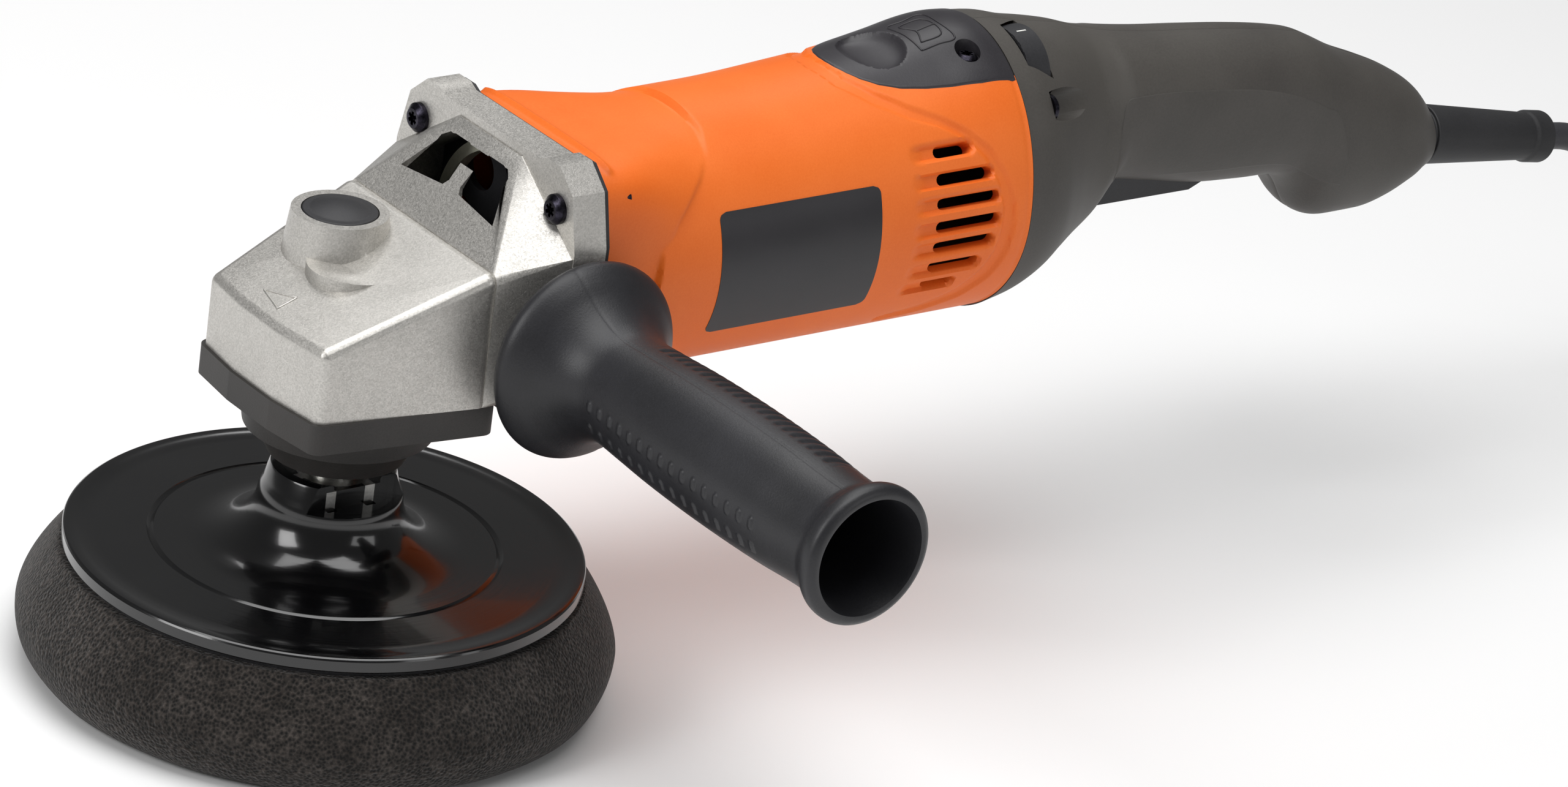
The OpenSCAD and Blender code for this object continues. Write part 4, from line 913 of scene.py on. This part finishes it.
def side_handle():
    """The outside profile, the rolled end ring and the open bore, turned about the handle's axis."""
    along = np.concatenate([np.linspace(46, 75, 60), np.linspace(75.4, 164, 230),
                            np.linspace(164.5, 184, 50)])
    radius = eased(along, OUT[:, 0], OUT[:, 1])
    turn = np.linspace(0, 2 * np.pi, 270, endpoint=False)
    gs, gt = np.meshgrid(along, turn, indexing="ij")
    gr = radius[:, None] + grip_relief(gs, gt) * ((gs > 49) & (gs < 177))
    bore = np.array([(46, 4.1), *INNER])
    tail_s = np.repeat(bore[1:, :1], 270, 1)
    tail_r = np.repeat(bore[1:, 1:], 270, 1)
    s = np.vstack([np.full((1, 270), 46.0), gs, tail_s])
    r = np.vstack([np.full((1, 270), 0.001), gr, tail_r])
    t = np.vstack([turn[None], gt, np.repeat(turn[None], len(tail_s), 0)])
    grid = np.stack([GRIP_X + r * np.cos(t), -s, GRIP_Z + r * np.sin(t)], -1)
    return grid.reshape(-1, 3), quads_of(len(grid), 270, True)


# etched black nylon with a long soft highlight down the grip
grip_black = grained("nylon_black_etched", "#19191C", "#242428", (0.38, 0.50), 0.6, 0.05, 30)
points, faces = side_handle()
piece("side_handle_moulded", points, faces, grip_black, "housing", 48,
      ("side_handle",))

# ---------------------------------------------------------------- floor and light
# Plain pale floor and soft boxes above, in front and behind.
mesh = bpy.data.meshes.new("floor")
mesh.from_pydata([(-6, -6, -0.0003), (6, -6, -0.0003), (6, 6, -0.0003), (-6, 6, -0.0003)], [],
                 [(0, 1, 2, 3)])
floor = bpy.data.objects.new("floor", mesh)
bpy.context.scene.collection.objects.link(floor)
pale, tree, shader, place = start_finish("studio_floor_white", Roughness=0.9,
                                         Specular_IOR_Level=0.1)
shader.inputs["Base Color"].default_value = linear("#F4F4F4")
floor.data.materials.append(pale)


def soft_box(name, place, aim, wide, tall, watts):
    """A rectangular soft box at place, facing aim."""
    light = bpy.data.lights.new(name, "AREA")
    light.shape, light.size, light.size_y, light.energy = "RECTANGLE", wide, tall, watts
    obj = bpy.data.objects.new(name, light)
    obj.matrix_world = (Matrix.Translation(place) @ (Vector(aim) - Vector(place))
                        .to_track_quat("-Z", "Y").to_matrix().to_4x4())
    bpy.context.scene.collection.objects.link(obj)


soft_box("overhead", (0.0, -0.1, 1.5), (0.15, 0, 0.1), 1.5, 1.1, 19)
soft_box("left_key", (-1.5, 0.1, 1.0), (0.1, 0, 0.1), 0.7, 0.9, 13)
soft_box("front_fill", (0.7, -1.8, 0.8), (0.15, 0, 0.1), 1.2, 0.7, 5)
soft_box("back_strip", (0.7, 1.0, 1.7), (0.15, 0, 0.12), 1.2, 0.5, 8)
world = bpy.data.worlds.new("studio")
world.use_nodes = True
sky = world.node_tree.nodes["Background"].inputs
sky["Color"].default_value, sky["Strength"].default_value = (1, 1, 1, 1), 0.16
bpy.context.scene.world = world
bpy.context.scene.view_settings.view_transform = "Standard"
bpy.context.scene.view_settings.look = "None"
